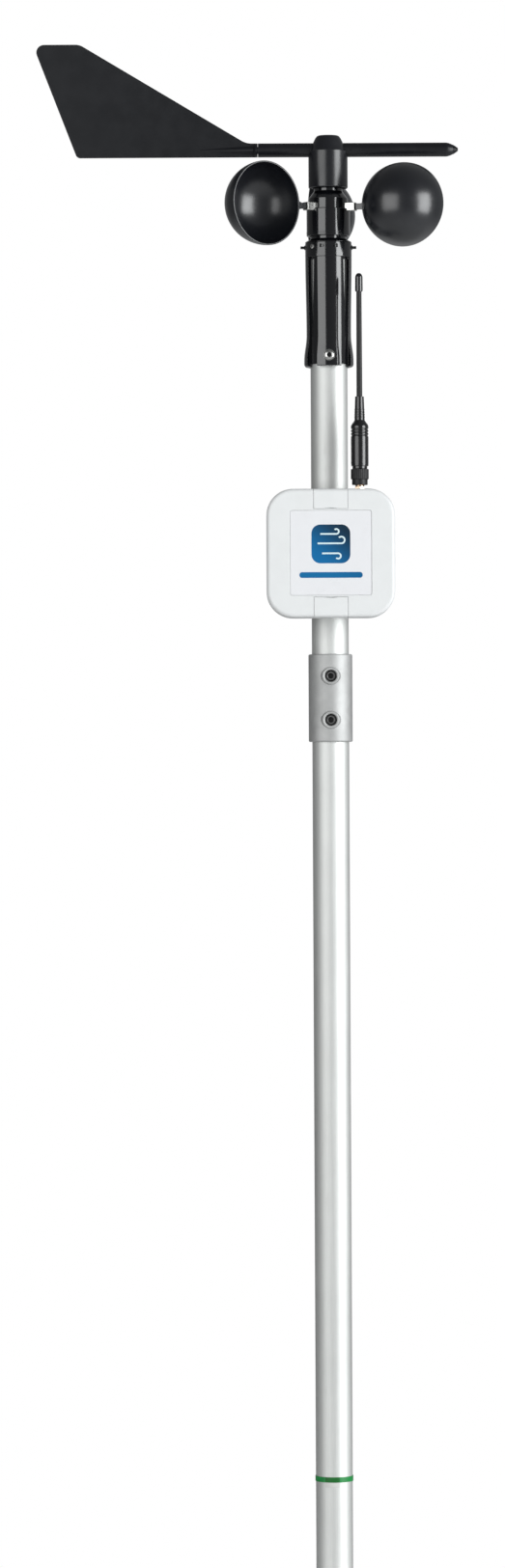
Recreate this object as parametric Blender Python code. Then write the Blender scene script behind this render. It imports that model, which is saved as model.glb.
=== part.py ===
"""Mast weather station: wind vane and cup rotor on a two-piece mast, with a radio box and a whip antenna.

Run with: blender --background --python part.py
Metres, +Z up. The origin is the centre of the mast's bottom face, and -Y is the front, with the radio box.
"""

import math

import bmesh
import bpy
from mathutils import Matrix, Vector

MM = 0.001

# Clearances
GAP = 0.3 * MM  # between pieces that touch or slide
RUN = 1.5 * MM  # between a turning shell and what it covers

# Mast
MAST_OD = 33.7 * MM
MAST_WALL = 2.0 * MM
LOWER_TUBE_LENGTH = 1000.0 * MM
UPPER_TUBE_LENGTH = 406.1 * MM
PLUG_HEAD = 3.0 * MM
PLUG_DEPTH = 22.0 * MM
PLUG_WALL = 2.0 * MM
DEPTH_MARK_HEIGHT = 291.6 * MM  # centre of the band above the mast's foot
DEPTH_MARK_WIDTH = 4.8 * MM
DEPTH_MARK_THICKNESS = 0.3 * MM

# Coupling
COUPLING_LENGTH = 80.0 * MM
COUPLING_WALL = 2.9 * MM
COUPLING_RIB = 1.0 * MM  # inner stop between the two tubes
COUPLING_EDGE = 1.0 * MM
BOSS_RADIUS = 8.0 * MM
BOSS_PROUD = 2.4 * MM
SET_SCREW_RADIUS = 5.0 * MM
SET_SCREW_SPACING = 40.0 * MM

# Socket that grips the top of the mast
SOCKET_LENGTH = 104.9 * MM  # below the tube's top end
SOCKET_WALL = 4.05 * MM  # of the saddles and the collar
SOCKET_SKIN = 1.3 * MM  # floor of the four channels
SADDLE_HALF_ANGLE = 30.0
FIN_HALF_ANGLE = 27.0
SADDLE_SHORT = 0.5 * MM  # how much shorter than the fins the saddles are
CHANNEL_SHORT = 2.6 * MM
WAIST_IN = 0.9 * MM
FLARE_OUT = 1.4 * MM
FLARE_HASTE = 1.25  # how much sooner than the foot the flare is full
WAIST_AT = 0.72  # the narrowest place, as a share of the socket's length
FOOT_ROUND = 3.5 * MM
CHANNEL_TOP = 4.5 * MM  # below the tube's top end
SLOT_DROP = 2.0 * MM  # solid skin between a channel's top and its slot
SLOT_LENGTH = 69.0 * MM
END_RELIEF = 0.9  # degrees that a channel's open end is wider each way
SLOT_INNER_ANGLE = 47.0
SLOT_OUTER_ANGLE = 60.0
COLLAR_HEIGHT = 8.8 * MM  # above the tube's top end
COLLAR_LIP = 2.0 * MM  # wall round the core's plug
SHELF = 2.0 * MM
PEG_RADIUS = 1.3 * MM
PEG_LENGTH = 4.3 * MM
PEG_HEIGHT = 4.8 * MM
WINDOW_WIDTH = 4.4 * MM
WINDOW_HEIGHT = 3.2 * MM
WINDOW_CENTRE = 5.1 * MM
WINDOW_ANGLE = 17.0
SOCKET_SCREW_DROP = 94.8 * MM
SOCKET_SCREW_HEAD = 4.6 * MM
SOCKET_SCREW_SHANK = 2.5 * MM
SOCKET_SCREW_HEAD_HEIGHT = 2.4 * MM
COLLAR_SCREW_ANGLE = 44.0
COLLAR_SCREW_HEAD = 2.1 * MM
COLLAR_SCREW_SHANK = 1.1 * MM

# Sensor core, which plugs into the socket and the tube
CORE_BARREL_DEPTH = 38.0 * MM
CORE_BARREL_WALL = 2.0 * MM
CORE_ROOF_DROP = 6.0 * MM  # underside of the core's floor, below the tube's top end
CORE_CAP_RIM = 0.5 * MM
CORE_CAP_HEIGHT = 3.2 * MM
CORE_CAP_IN = 4.5 * MM
CORE_NECK_TOP = 20.0 * MM
SPINDLE_RADIUS = 5.0 * MM
SPINDLE_BORE = 3.5 * MM
SPINDLE_TOP = 54.0 * MM
SHAFT_RADIUS = 2.0 * MM
BUSH_LENGTH = 6.0 * MM
BUSH_FLANGE = 1.2 * MM
POT_SIDE_GAP = 0.75 * MM  # between the potentiometer and the core's barrel
POT_TOP_DROP = 14.0 * MM
POT_HEIGHT = 20.0 * MM
BOARD_THICKNESS = 1.6 * MM
REED_RADIUS = 1.3 * MM
REED_LENGTH = 12.0 * MM
MAGNET_RADIUS = 2.2 * MM

# Cup rotor, heights above the tube's top end
HUB_BOTTOM = 15.0 * MM
HUB_STEP = 39.7 * MM
HUB_SHOULDER = 49.4 * MM
HUB_CONE_TOP = 56.0 * MM
HUB_NECK_TOP = 61.0 * MM
SKIRT_RADIUS = 19.8 * MM
SKIRT_WALL = 2.0 * MM
HUB_RADIUS = 18.0 * MM
HUB_NECK_RADIUS = 13.0 * MM
HUB_ROOF = 3.7 * MM
BEARING_RADIUS = 9.5 * MM
BEARING_WIDTH = 5.0 * MM
BEARING_SHOULDER = 1.0 * MM
BEARING_WALL = 2.2 * MM
LOWER_BEARING = 28.0 * MM
UPPER_BEARING = 46.0 * MM
CUP_RADIUS = 38.3 * MM
CUP_WALL = 1.5 * MM
CUP_ORBIT = 73.0 * MM  # axis to the centre of a cup
CUP_COUNT = 3
CUP_NAMES = ("left", "right", "rear")
ROTOR_ANGLE = 218.5  # heading of the left cup's arm at rest
ARM_HEIGHT = 41.3 * MM
ARM_TALL = 5.4 * MM
ARM_THICK = 3.0 * MM
ARM_ROOT_TALL = 9.0 * MM  # where the arm meets the cup
ARM_ROOT_LENGTH = 5.0 * MM
ARM_BLOCK = 7.4 * MM  # square block on the hub that holds an arm
ARM_BLOCK_END = 26.8 * MM

# Wind vane
VANE_BOTTOM = 58.9 * MM
VANE_RADIUS = 17.9 * MM
VANE_WALL = 2.2 * MM
VANE_SHOULDER = 92.5 * MM
VANE_TOP = 107.0 * MM
VANE_TOP_RADIUS = 9.0 * MM
VANE_BELL = 1.6  # how late the crown rises; 1 gives a quarter ellipse's rise
VANE_ROOF_DROP = 8.4 * MM  # from the shoulder down to the hollow's roof
BOOM_HEIGHT = 94.0 * MM
BOOM_RADIUS = 6.4 * MM
BOOM_BORE = 3.6 * MM
BOOM_SEAT = 7.5 * MM  # how near the axis the booms reach
NOSE_REACH = 118.7 * MM
NOSE_TAPER = 11.2 * MM
NOSE_TIP_RADIUS = 1.2 * MM
WEIGHT_LENGTH = 45.0 * MM
TAIL_BOOM_REACH = 64.0 * MM
FIN_COLLAR = 2.0 * MM
FIN_ROOT = 8.4 * MM  # collar to the foot of the fin's leading edge
FIN_REACH = 271.2 * MM
FIN_HEIGHT = 103.8 * MM
FIN_THICKNESS = 2.2 * MM
FIN_TOP_LENGTH = 42.6 * MM
FIN_SWEEP = 40.0 * MM  # how far the trailing edge leans back
FIN_CORNER = 4.5 * MM
FIN_STUB = 24.0 * MM
FIN_FAIRING = 50.0 * MM
VANE_SCREW_HEIGHT = 88.0 * MM
VANE_SCREW_RADIUS = 1.6 * MM
VANE_SCREW_LENGTH = 10.0 * MM

# Radio box
BOX_HEIGHT_UP = 129.3 * MM  # box centre above the upper tube's lower end
BOX_SIDE = 116.0 * MM
BOX_CORNER = 24.0 * MM
BOX_DEPTH = 43.5 * MM
BOX_WALL = 2.5 * MM
COVER_DEPTH = 15.0 * MM
COVER_EDGE = 3.0 * MM
GASKET = 1.2 * MM
GASKET_IN = 0.9 * MM
LABEL_WIDTH = 73.6 * MM
LABEL_HEIGHT = 76.8 * MM
LABEL_RECESS = 1.0 * MM
LABEL_THICKNESS = 0.4 * MM
LABEL_CORNER = 2.0 * MM
FLAP_WIDTH = 30.6 * MM
FLAP_THICKNESS = 2.1 * MM
FLAP_RETURN = 9.5 * MM  # front face back to the hinge axis
FLAP_SPACE = 1.5 * MM  # between the label's recess and a flap
FLAP_BARREL = 1.5 * MM
FLAP_PIN = 0.7 * MM
FLAP_PIN_BITE = 1.5 * MM
FLAP_NOTCH_WIDTH = 12.3 * MM
FLAP_NOTCH_DEPTH = 0.9 * MM
COVER_SCREW_RADIUS = 1.5 * MM
COVER_SCREW_HEAD = 3.2 * MM
COVER_SCREW_HEAD_HEIGHT = 2.4 * MM
COVER_SCREW_BITE = 12.0 * MM
BRACKET_WEB = 5.6 * MM
BRACKET_WIDTH = 52.0 * MM
BRACKET_HEIGHT = 84.0 * MM
BRACKET_WRAP = 9.0 * MM  # how far in front of the mast's axis the cheeks stop
BAND_SPACING = 52.0 * MM
BAND_WIDTH = 12.0 * MM
BAND_THICKNESS = 0.8 * MM
BAND_STRETCH = 3.0 * MM  # how far forward the band's front bend is centred
BAND_HOUSING = (15.0 * MM, 8.0 * MM)  # length and depth
WORM_RADIUS = 2.9 * MM
WORM_TIP = 0.75 * MM  # how far inside the housing the worm's end stops
WORM_HEAD = 3.7 * MM
WORM_HEAD_HEIGHT = 4.0 * MM
WORM_SLOT = 1.0 * MM
WORM_SLOT_DEPTH = 1.2 * MM
BRACKET_SCREW_X = 21.0 * MM
BRACKET_SCREW_RADIUS = 2.0 * MM
BRACKET_SCREW_LENGTH = 11.0 * MM
GROMMET_NECK = 4.6 * MM
GROMMET_BORE = 3.0 * MM
GROMMET_FLANGE = 6.2 * MM
GROMMET_FLANGE_THICK = 1.2 * MM
BOARD_WIDTH = 78.0 * MM
BOARD_HEIGHT = 84.0 * MM
BOARD_STANDOFF = 2.2 * MM
CELL_RADIUS = 7.1 * MM
CELL_LENGTH = 50.5 * MM
CELL_SPACING = 16.0 * MM
HOLDER_FLOOR = 1.4 * MM
HOLDER_END = 1.5 * MM

# Antenna, heights above the box's top face
ANTENNA_X = 26.9 * MM
ANTENNA_BACK = 15.5 * MM  # in front of the box's back face
BULKHEAD_RADIUS = 3.1 * MM
BULKHEAD_FLANGE = 4.9 * MM
ANTENNA_BASE = 4.6 * MM
NUT_NECK_HEIGHT = 5.0 * MM
NUT_HEIGHT = 14.3 * MM
NUT_RADIUS = 8.1 * MM
NUT_NECK_RADIUS = 7.15 * MM
NUT_BORE_DEPTH = 5.0 * MM
GRIP_RADIUS = 8.0 * MM
GRIP_HEIGHT = 38.5 * MM
GRIP_FOOT = 2.3 * MM  # narrower ring at the grip's foot
GRIP_SHOULDER = 5.5 * MM  # taper between the grip and its sleeve
GRIP_GROOVES = 3
GROOVE_PITCH = 2.8 * MM
GROOVE_DEPTH = 0.6 * MM
SLEEVE_LENGTH = 21.5 * MM
SLEEVE_BOTTOM_RADIUS = 4.7 * MM
SLEEVE_TOP_RADIUS = 4.0 * MM
WHIP_BOTTOM_RADIUS = 2.65 * MM
WHIP_TOP_RADIUS = 2.35 * MM
WHIP_EXPOSED = 95.3 * MM
WHIP_SEAT = 8.0 * MM
TIP_RADIUS = 3.5 * MM
TIP_LENGTH = 16.7 * MM
TIP_CONE = 4.1 * MM
TIP_SEAT = 5.0 * MM

# Derived places
MAST_R = MAST_OD / 2
MAST_BORE = MAST_R - MAST_WALL
SLIP_R = MAST_R + GAP  # inside of whatever slips over the mast
LOWER_TUBE_BOTTOM = PLUG_HEAD + GAP
COUPLING_CENTRE = LOWER_TUBE_BOTTOM + LOWER_TUBE_LENGTH + GAP + COUPLING_RIB / 2
UPPER_TUBE_BOTTOM = COUPLING_CENTRE + COUPLING_RIB / 2 + GAP
HEAD_HEIGHT = UPPER_TUBE_BOTTOM + UPPER_TUBE_LENGTH
SOCKET_R = SLIP_R + SOCKET_WALL
CORE_PLUG_R = SOCKET_R - COLLAR_LIP - GAP
CORE_BARREL_R = MAST_BORE - 2 * GAP
POT_RADIUS = CORE_BARREL_R - CORE_BARREL_WALL - POT_SIDE_GAP
CORE_NECK_R = SKIRT_RADIUS - SKIRT_WALL - RUN
BOX_BACK = MAST_R + GAP + BRACKET_WEB + GAP
BOX_FRONT = BOX_BACK + BOX_DEPTH
COVER_BACK = BOX_FRONT - COVER_DEPTH
SHELL_FRONT = COVER_BACK - GASKET - 2 * GAP
BOX_HALF = BOX_SIDE / 2
FLAP_INNER = LABEL_HEIGHT / 2 + FLAP_SPACE

ROUND = 28
FINE = 14
SMALL = 10

FACING_FRONT = (math.radians(90), 0, 0)  # a frame whose y is up and whose z points to the front
ALONG_X = (0, math.radians(90), 0)

MATERIALS = {
    "anodised_aluminium": ((0.72, 0.73, 0.72), 0.32, 1.0),
    "cast_aluminium": ((0.58, 0.59, 0.58), 0.45, 1.0),
    "black_plastic": ((0.022, 0.024, 0.028), 0.35, 0.0),
    "vane_plastic": ((0.03, 0.032, 0.036), 0.5, 0.0),
    "white_plastic": ((0.83, 0.85, 0.85), 0.38, 0.0),
    "label_film": ((0.86, 0.87, 0.89), 0.3, 0.0),
    "antenna_rubber": ((0.02, 0.02, 0.022), 0.4, 0.0),
    "green_tape": ((0.0, 0.28, 0.06), 0.45, 0.0),
    "stainless_steel": ((0.62, 0.62, 0.6), 0.25, 1.0),
    "dark_steel": ((0.09, 0.09, 0.1), 0.35, 1.0),
    "gold_plate": ((0.83, 0.52, 0.3), 0.25, 1.0),
    "brass": ((0.72, 0.52, 0.22), 0.35, 1.0),
    "sealing_rubber": ((0.03, 0.03, 0.03), 0.7, 0.0),
    "circuit_board": ((0.02, 0.18, 0.07), 0.45, 0.0),
    "battery_wrap": ((0.05, 0.16, 0.42), 0.35, 0.0),
    "reed_glass": ((0.5, 0.62, 0.55), 0.1, 0.0),
    "plug_plastic": ((0.04, 0.04, 0.042), 0.5, 0.0),
}


# ---------------------------------------------------------------- tools


def clear_scene():
    """Empties the scene."""
    for obj in list(bpy.data.objects):
        bpy.data.objects.remove(obj)


def material(name):
    """The named finish as a Principled material, made once."""
    found = bpy.data.materials.get(name)
    if found:
        return found
    colour, roughness, metallic = MATERIALS[name]
    made = bpy.data.materials.new(name)
    made.use_nodes = True
    shader = made.node_tree.nodes["Principled BSDF"]
    shader.inputs["Base Color"].default_value = (*colour, 1.0)
    shader.inputs["Roughness"].default_value = roughness
    shader.inputs["Metallic"].default_value = metallic
    return made


def frame(name, location, parent=None, rotation=(0, 0, 0)):
    """An empty that carries a sub-assembly."""
    empty = bpy.data.objects.new(name, None)
    empty.location = location
    empty.rotation_euler = rotation
    empty.parent = parent
    bpy.context.scene.collection.objects.link(empty)
    return empty


def place(name, bm, finish, parent, location=(0, 0, 0), rotation=(0, 0, 0)):
    """Turns a bmesh into an object under its parent frame."""
    bmesh.ops.remove_doubles(bm, verts=bm.verts, dist=1e-7)
    bmesh.ops.dissolve_degenerate(bm, edges=bm.edges, dist=1e-7)
    bmesh.ops.recalc_face_normals(bm, faces=bm.faces)
    mesh = bpy.data.meshes.new(name)
    bm.to_mesh(mesh)
    bm.free()
    mesh.shade_smooth()
    mesh.set_sharp_from_angle(angle=math.radians(35))
    obj = bpy.data.objects.new(name, mesh)
    if finish:
        mesh.materials.append(material(finish))
    obj.location = location
    obj.rotation_euler = rotation
    obj.parent = parent
    bpy.context.scene.collection.objects.link(obj)
    return obj


def turned_mesh(profile, segments=ROUND):
    """A closed profile of (radius, height) turned about Z. A side that lies on the axis is left out."""
    bm = bmesh.new()
    verts = [bm.verts.new((r, 0, z)) for r, z in profile]
    pairs = zip(verts, verts[1:] + verts[:1])
    edges = [bm.edges.new((a, b)) for a, b in pairs if a.co.x > 0 or b.co.x > 0]
    bmesh.ops.spin(
        bm, geom=verts + edges, axis=(0, 0, 1), cent=(0, 0, 0),
        angle=math.tau, steps=segments, use_merge=True, use_duplicate=False,
    )
    return bm


def prism_mesh(outline, low, high):
    """An outline of (x, y) extruded from low to high along Z."""
    bm = bmesh.new()
    face = bm.faces.new([bm.verts.new((x, y, low)) for x, y in outline])
    made = bmesh.ops.extrude_face_region(bm, geom=[face])
    top = [v for v in made["geom"] if isinstance(v, bmesh.types.BMVert)]
    bmesh.ops.translate(bm, verts=top, vec=(0, 0, high - low))
    return bm


def block_mesh(low, high):
    """A box between two corners."""
    bm = bmesh.new()
    low, high = Vector(low), Vector(high)
    bmesh.ops.create_cube(bm, size=1.0)
    bmesh.ops.scale(bm, verts=bm.verts, vec=high - low)
    bmesh.ops.translate(bm, verts=bm.verts, vec=(low + high) / 2)
    return bm


def lofted_mesh(layers):
    """Outlines with equal counts of points, given as (outline, height), joined into one closed solid."""
    bm = bmesh.new()
    loops = []
    for outline, height in layers:
        verts = [bm.verts.new((x, y, height)) for x, y in outline]
        loops.append([bm.edges.new((a, b)) for a, b in zip(verts, verts[1:] + verts[:1])])
    for lower, upper in zip(loops, loops[1:]):
        bmesh.ops.bridge_loops(bm, edges=lower + upper)
    bmesh.ops.holes_fill(bm, edges=loops[0])
    bmesh.ops.holes_fill(bm, edges=loops[-1])
    return bm


def turned(name, profile, finish, parent, segments=ROUND, **where):
    """A turned piece as an object."""
    return place(name, turned_mesh(profile, segments), finish, parent, **where)


def rod(name, radius, low, high, finish, parent, segments=FINE, **where):
    """A plain round bar along its frame's Z."""
    profile = [(0, low), (radius, low), (radius, high), (0, high)]
    return turned(name, profile, finish, parent, segments, **where)


def drill(name, radius, low, high, parent, segments=FINE, **where):
    """A hidden round cutter, turned half a step so its corners miss the edges of the round faces it cuts."""
    bm = turned_mesh([(0, low), (radius, low), (radius, high), (0, high)], segments)
    bmesh.ops.rotate(bm, verts=bm.verts, cent=(0, 0, 0), matrix=Matrix.Rotation(math.pi / segments, 3, "Z"))
    return place(name, bm, None, parent, **where)


def ring(name, inner, outer, low, high, finish, parent, segments=ROUND, **where):
    """A plain sleeve along its frame's Z."""
    profile = [(inner, low), (outer, low), (outer, high), (inner, high)]
    return turned(name, profile, finish, parent, segments, **where)


def combine(obj, other, operation):
    """A Boolean of obj with other, which becomes a hidden helper."""
    other.hide_render = True
    other.display_type = "WIRE"
    modifier = obj.modifiers.new(f"{operation.lower()} {other.name}", "BOOLEAN")
    modifier.operation = operation
    modifier.solver = "EXACT"
    modifier.object = other


def cut(obj, *cutters):
    """Cuts each helper out of obj."""
    for cutter in cutters:
        combine(obj, cutter, "DIFFERENCE")


def add(obj, *others):
    """Joins each helper to obj."""
    for other in others:
        combine(obj, other, "UNION")


def rounded_rectangle(width, height, radius, steps=6):
    """Outline of a rectangle with round corners, centred."""
    points = []
    for turn in range(4):
        middle = Vector((width / 2 - radius, height / 2 - radius))
        if turn in (1, 2):
            middle.x = -middle.x
        if turn in (2, 3):
            middle.y = -middle.y
        for step in range(steps + 1):
            angle = math.radians(90 * turn + 90 * step / steps)
            points.append((middle.x + radius * math.cos(angle), middle.y + radius * math.sin(angle)))
    return points


def arc(centre, radius, start, end, steps):
    """Points on an arc, in degrees, both ends included."""
    angles = [math.radians(start + (end - start) * i / steps) for i in range(steps + 1)]
    return [(centre[0] + radius * math.cos(a), centre[1] + radius * math.sin(a)) for a in angles]


def polar(radius, degrees):
    """A point at an angle from the front, turning towards +X."""
    angle = math.radians(degrees)
    return (radius * math.sin(angle), -radius * math.cos(angle))


def filleted(corners, radii, steps=5):
    """An outline through corners, each rounded by its own radius."""
    points = []
    count = len(corners)
    for i, corner in enumerate(corners):
        here = Vector(corner)
        if radii[i] == 0:
            points.append(tuple(here))
            continue
        back = (Vector(corners[i - 1]) - here).normalized()
        ahead = (Vector(corners[(i + 1) % count]) - here).normalized()
        half = back.angle(ahead) / 2
        centre = here + (back + ahead).normalized() * radii[i] / math.sin(half)
        start = here + back * radii[i] / math.tan(half)
        sweep = (math.pi - 2 * half) * (1 if back.cross(ahead) < 0 else -1)
        for step in range(steps + 1):
            turn = Matrix.Rotation(sweep * step / steps, 2)
            points.append(tuple(centre + turn @ (start - centre)))
    return points


# ---------------------------------------------------------------- mast


def build_lower_mast(root):
    """Lower tube, its end plug and the depth mark."""
    ring("lower_mast_tube", MAST_BORE, MAST_R, LOWER_TUBE_BOTTOM, LOWER_TUBE_BOTTOM + LOWER_TUBE_LENGTH,
         "anodised_aluminium", root)
    insert = MAST_BORE - GAP
    turned("mast_end_plug", [
        (0, 0), (MAST_R, 0), (MAST_R, PLUG_HEAD), (insert, PLUG_HEAD), (insert, PLUG_HEAD + PLUG_DEPTH),
        (insert - PLUG_WALL, PLUG_HEAD + PLUG_DEPTH), (insert - PLUG_WALL, PLUG_HEAD), (0, PLUG_HEAD),
    ], "plug_plastic", root)
    ring("depth_mark_band", SLIP_R, SLIP_R + DEPTH_MARK_THICKNESS, DEPTH_MARK_HEIGHT - DEPTH_MARK_WIDTH / 2,
         DEPTH_MARK_HEIGHT + DEPTH_MARK_WIDTH / 2, "green_tape", root)


def hex_socket(name, across, low, high, parent, **where):
    """A hidden hexagonal cutter for a screw's drive."""
    outline = [(across / math.sqrt(3) * math.cos(math.radians(60 * i)),
                across / math.sqrt(3) * math.sin(math.radians(60 * i))) for i in range(6)]
    return place(name, prism_mesh(outline, low, high), None, parent, **where)


def build_coupling(root):
    """Cast sleeve that joins the tubes, with two bosses and their set screws."""
    outer = SLIP_R + COUPLING_WALL
    half = COUPLING_LENGTH / 2
    rib = COUPLING_RIB / 2
    sleeve = turned("mast_coupling", [
        (SLIP_R, -half), (outer - COUPLING_EDGE, -half), (outer, -half + COUPLING_EDGE),
        (outer, half - COUPLING_EDGE), (outer - COUPLING_EDGE, half), (SLIP_R, half),
        (SLIP_R, rib), (MAST_BORE, rib), (MAST_BORE, -rib), (SLIP_R, -rib),
    ], "cast_aluminium", root, location=(0, 0, COUPLING_CENTRE))
    boss_front = outer + BOSS_PROUD
    for side, name in ((1, "upper"), (-1, "lower")):
        seat = frame(f"set_screw_frame_{name}", (0, 0, COUPLING_CENTRE + side * SET_SCREW_SPACING / 2),
                     root, FACING_FRONT)
        edge = COUPLING_EDGE
        add(sleeve, turned(f"boss_{name}", [
            (0, SLIP_R + COUPLING_WALL / 2), (BOSS_RADIUS + edge, SLIP_R + COUPLING_WALL / 2),
            (BOSS_RADIUS, boss_front - edge), (BOSS_RADIUS - edge, boss_front), (0, boss_front),
        ], None, seat, FINE))
        cut(sleeve, drill(f"boss_hole_{name}", SET_SCREW_RADIUS + GAP, MAST_R - MAST_WALL,
                          boss_front + COUPLING_WALL, seat))
        screw = rod(f"coupling_set_screw_{name}", SET_SCREW_RADIUS, SLIP_R, boss_front - 2 * GAP,
                    "dark_steel", seat)
        cut(screw, hex_socket(f"set_screw_drive_{name}", SET_SCREW_RADIUS, boss_front - BOSS_PROUD - 2 * GAP,
                              boss_front + BOSS_PROUD, seat))


def build_upper_mast(root):
    """Upper tube, with the hole that the sensor cable leaves by."""
    tube = ring("upper_mast_tube", MAST_BORE, MAST_R, UPPER_TUBE_BOTTOM, HEAD_HEIGHT, "anodised_aluminium",
                root)
    hole = drill("mast_cable_hole", GROMMET_NECK + GAP, 0, MAST_OD, root,
                 location=(0, 0, UPPER_TUBE_BOTTOM + BOX_HEIGHT_UP), rotation=FACING_FRONT)
    cut(tube, hole)


# ---------------------------------------------------------------- socket


def socket_radius(height):
    """Outer radius of the socket below the tube's top end: a slight waist, then a flare at the foot."""
    waist = -WAIST_AT * SOCKET_LENGTH
    if height >= waist:
        share = max(0.0, height / waist)
        return SOCKET_R - WAIST_IN * (0.5 - 0.5 * math.cos(math.pi * share))
    share = (waist - height) / (SOCKET_LENGTH + waist)
    swell = 0.5 - 0.5 * math.cos(math.pi * min(1.0, share * FLARE_HASTE))
    return SOCKET_R - WAIST_IN + (WAIST_IN + FLARE_OUT) * swell


def sector_outline(start, end, inner, outer):
    """Outline of the space between two angles and two radii."""
    steps = 4
    angles = [start + (end - start) * i / steps for i in range(steps + 1)]
    return [polar(inner, a) for a in angles] + [polar(outer, a) for a in reversed(angles)]


def build_socket(head):
    """Finned socket over the mast's top, with its four channels and see-through slots."""
    heights = [-SOCKET_LENGTH + FOOT_ROUND + (SOCKET_LENGTH - FOOT_ROUND) * i / 6 for i in range(7)]
    outer = [(socket_radius(z), z) for z in heights]
    profile = [(SLIP_R, -SOCKET_LENGTH), (socket_radius(-SOCKET_LENGTH) - FOOT_ROUND, -SOCKET_LENGTH)]
    profile += outer + [
        (SOCKET_R, COLLAR_HEIGHT), (SOCKET_R - COLLAR_LIP, COLLAR_HEIGHT),
        (SOCKET_R - COLLAR_LIP, GAP + SHELF),
        (MAST_BORE - GAP, GAP + SHELF), (MAST_BORE - GAP, GAP), (SLIP_R, GAP),
    ]
    socket = turned("mast_socket", profile, "black_plastic", head)
    for quarter, (side, face) in enumerate(((1, 1), (-1, 1), (1, -1), (-1, -1))):

        def outline(start, end, inner, outer_radius):
            """The sector mirrored into this quarter."""
            return [(side * x, face * y) for x, y in sector_outline(start, end, inner, outer_radius)]

        reach = SOCKET_R + 2 * FLARE_OUT
        wide = (SADDLE_HALF_ANGLE, 90 - FIN_HALF_ANGLE)
        end = (wide[0] - END_RELIEF, wide[1] + END_RELIEF)
        skin = SLIP_R + SOCKET_SKIN
        cut(socket,
            place(f"channel_{quarter}",
                  prism_mesh(outline(*wide, skin, reach), -SOCKET_LENGTH - RUN, -CHANNEL_TOP),
                  None, head),
            place(f"channel_end_{quarter}",
                  prism_mesh(outline(*end, MAST_BORE, reach), -SOCKET_LENGTH - 2 * RUN,
                             -SOCKET_LENGTH + CHANNEL_SHORT),
                  None, head))
        top = outline(SLOT_INNER_ANGLE, SLOT_OUTER_ANGLE, MAST_BORE, reach)
        middle = (SLOT_INNER_ANGLE + SLOT_OUTER_ANGLE) / 2
        bottom = outline(middle - 0.5, middle + 0.5, MAST_BORE, reach)
        slot_top = -CHANNEL_TOP - SLOT_DROP
        cut(socket, place(f"slot_{quarter}", lofted_mesh([(bottom, slot_top - SLOT_LENGTH), (top, slot_top)]),
                          None, head))
        window = turned_window(f"window_{quarter}", side, face, head)
        cut(socket, window)
    for face in (1, -1):
        width = MAST_R * math.sin(math.radians(SADDLE_HALF_ANGLE + 8))
        low = (-width, min(face * MAST_BORE / 2, face * MAST_OD), -SOCKET_LENGTH - RUN)
        high = (width, max(face * MAST_BORE / 2, face * MAST_OD), -SOCKET_LENGTH + SADDLE_SHORT)
        cut(socket, place(f"saddle_end_{face}", block_mesh(low, high), None, head))
    for side in (1, -1):
        add(socket, rod(f"peg_{side}", PEG_RADIUS, SOCKET_R - COLLAR_LIP / 2, SOCKET_R + PEG_LENGTH, None,
                        head, SMALL, location=(0, 0, PEG_HEIGHT),
                        rotation=(0, side * math.radians(90), 0)))
    screw_frame = frame("socket_screw_frame", (0, 0, -SOCKET_SCREW_DROP), head, FACING_FRONT)
    surface = socket_radius(-SOCKET_SCREW_DROP)
    cut(socket, drill("socket_screw_hole", SOCKET_SCREW_SHANK + GAP, MAST_BORE, surface + RUN, screw_frame))
    build_button_screw("socket_clamp_screw", screw_frame, SLIP_R, surface + GAP)
    turn = frame("collar_screw_frame", (0, 0, PEG_HEIGHT), head, (0, 0, -math.radians(COLLAR_SCREW_ANGLE)))
    collar_frame = frame("collar_screw_facing", (0, 0, 0), turn, FACING_FRONT)
    cut(socket, drill("collar_screw_hole", COLLAR_SCREW_SHANK + GAP, CORE_PLUG_R, SOCKET_R + RUN,
                      collar_frame, SMALL))
    head_start = SOCKET_R + GAP / 2
    turned("collar_screw", [
        (0, CORE_PLUG_R + GAP), (COLLAR_SCREW_SHANK, CORE_PLUG_R + GAP), (COLLAR_SCREW_SHANK, head_start),
        (COLLAR_SCREW_HEAD, head_start), (COLLAR_SCREW_HEAD, head_start + 0.6 * MM),
        (COLLAR_SCREW_HEAD * 0.7, head_start + 1.2 * MM), (0, head_start + 1.2 * MM),
    ], "stainless_steel", collar_frame, SMALL)


def turned_window(name, side, face, head):
    """A hidden block that cuts one snap window, at the angle that the snap tab shares."""
    angle = WINDOW_ANGLE if face > 0 else 180 - WINDOW_ANGLE
    turn = -side * math.radians(angle) if side > 0 else math.radians(angle)
    low = (-WINDOW_WIDTH / 2, -SOCKET_R - RUN, WINDOW_CENTRE - WINDOW_HEIGHT / 2)
    high = (WINDOW_WIDTH / 2, -(SOCKET_R - COLLAR_LIP - RUN / 2), WINDOW_CENTRE + WINDOW_HEIGHT / 2)
    return place(name, block_mesh(low, high), None, head, rotation=(0, 0, -turn))


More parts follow.
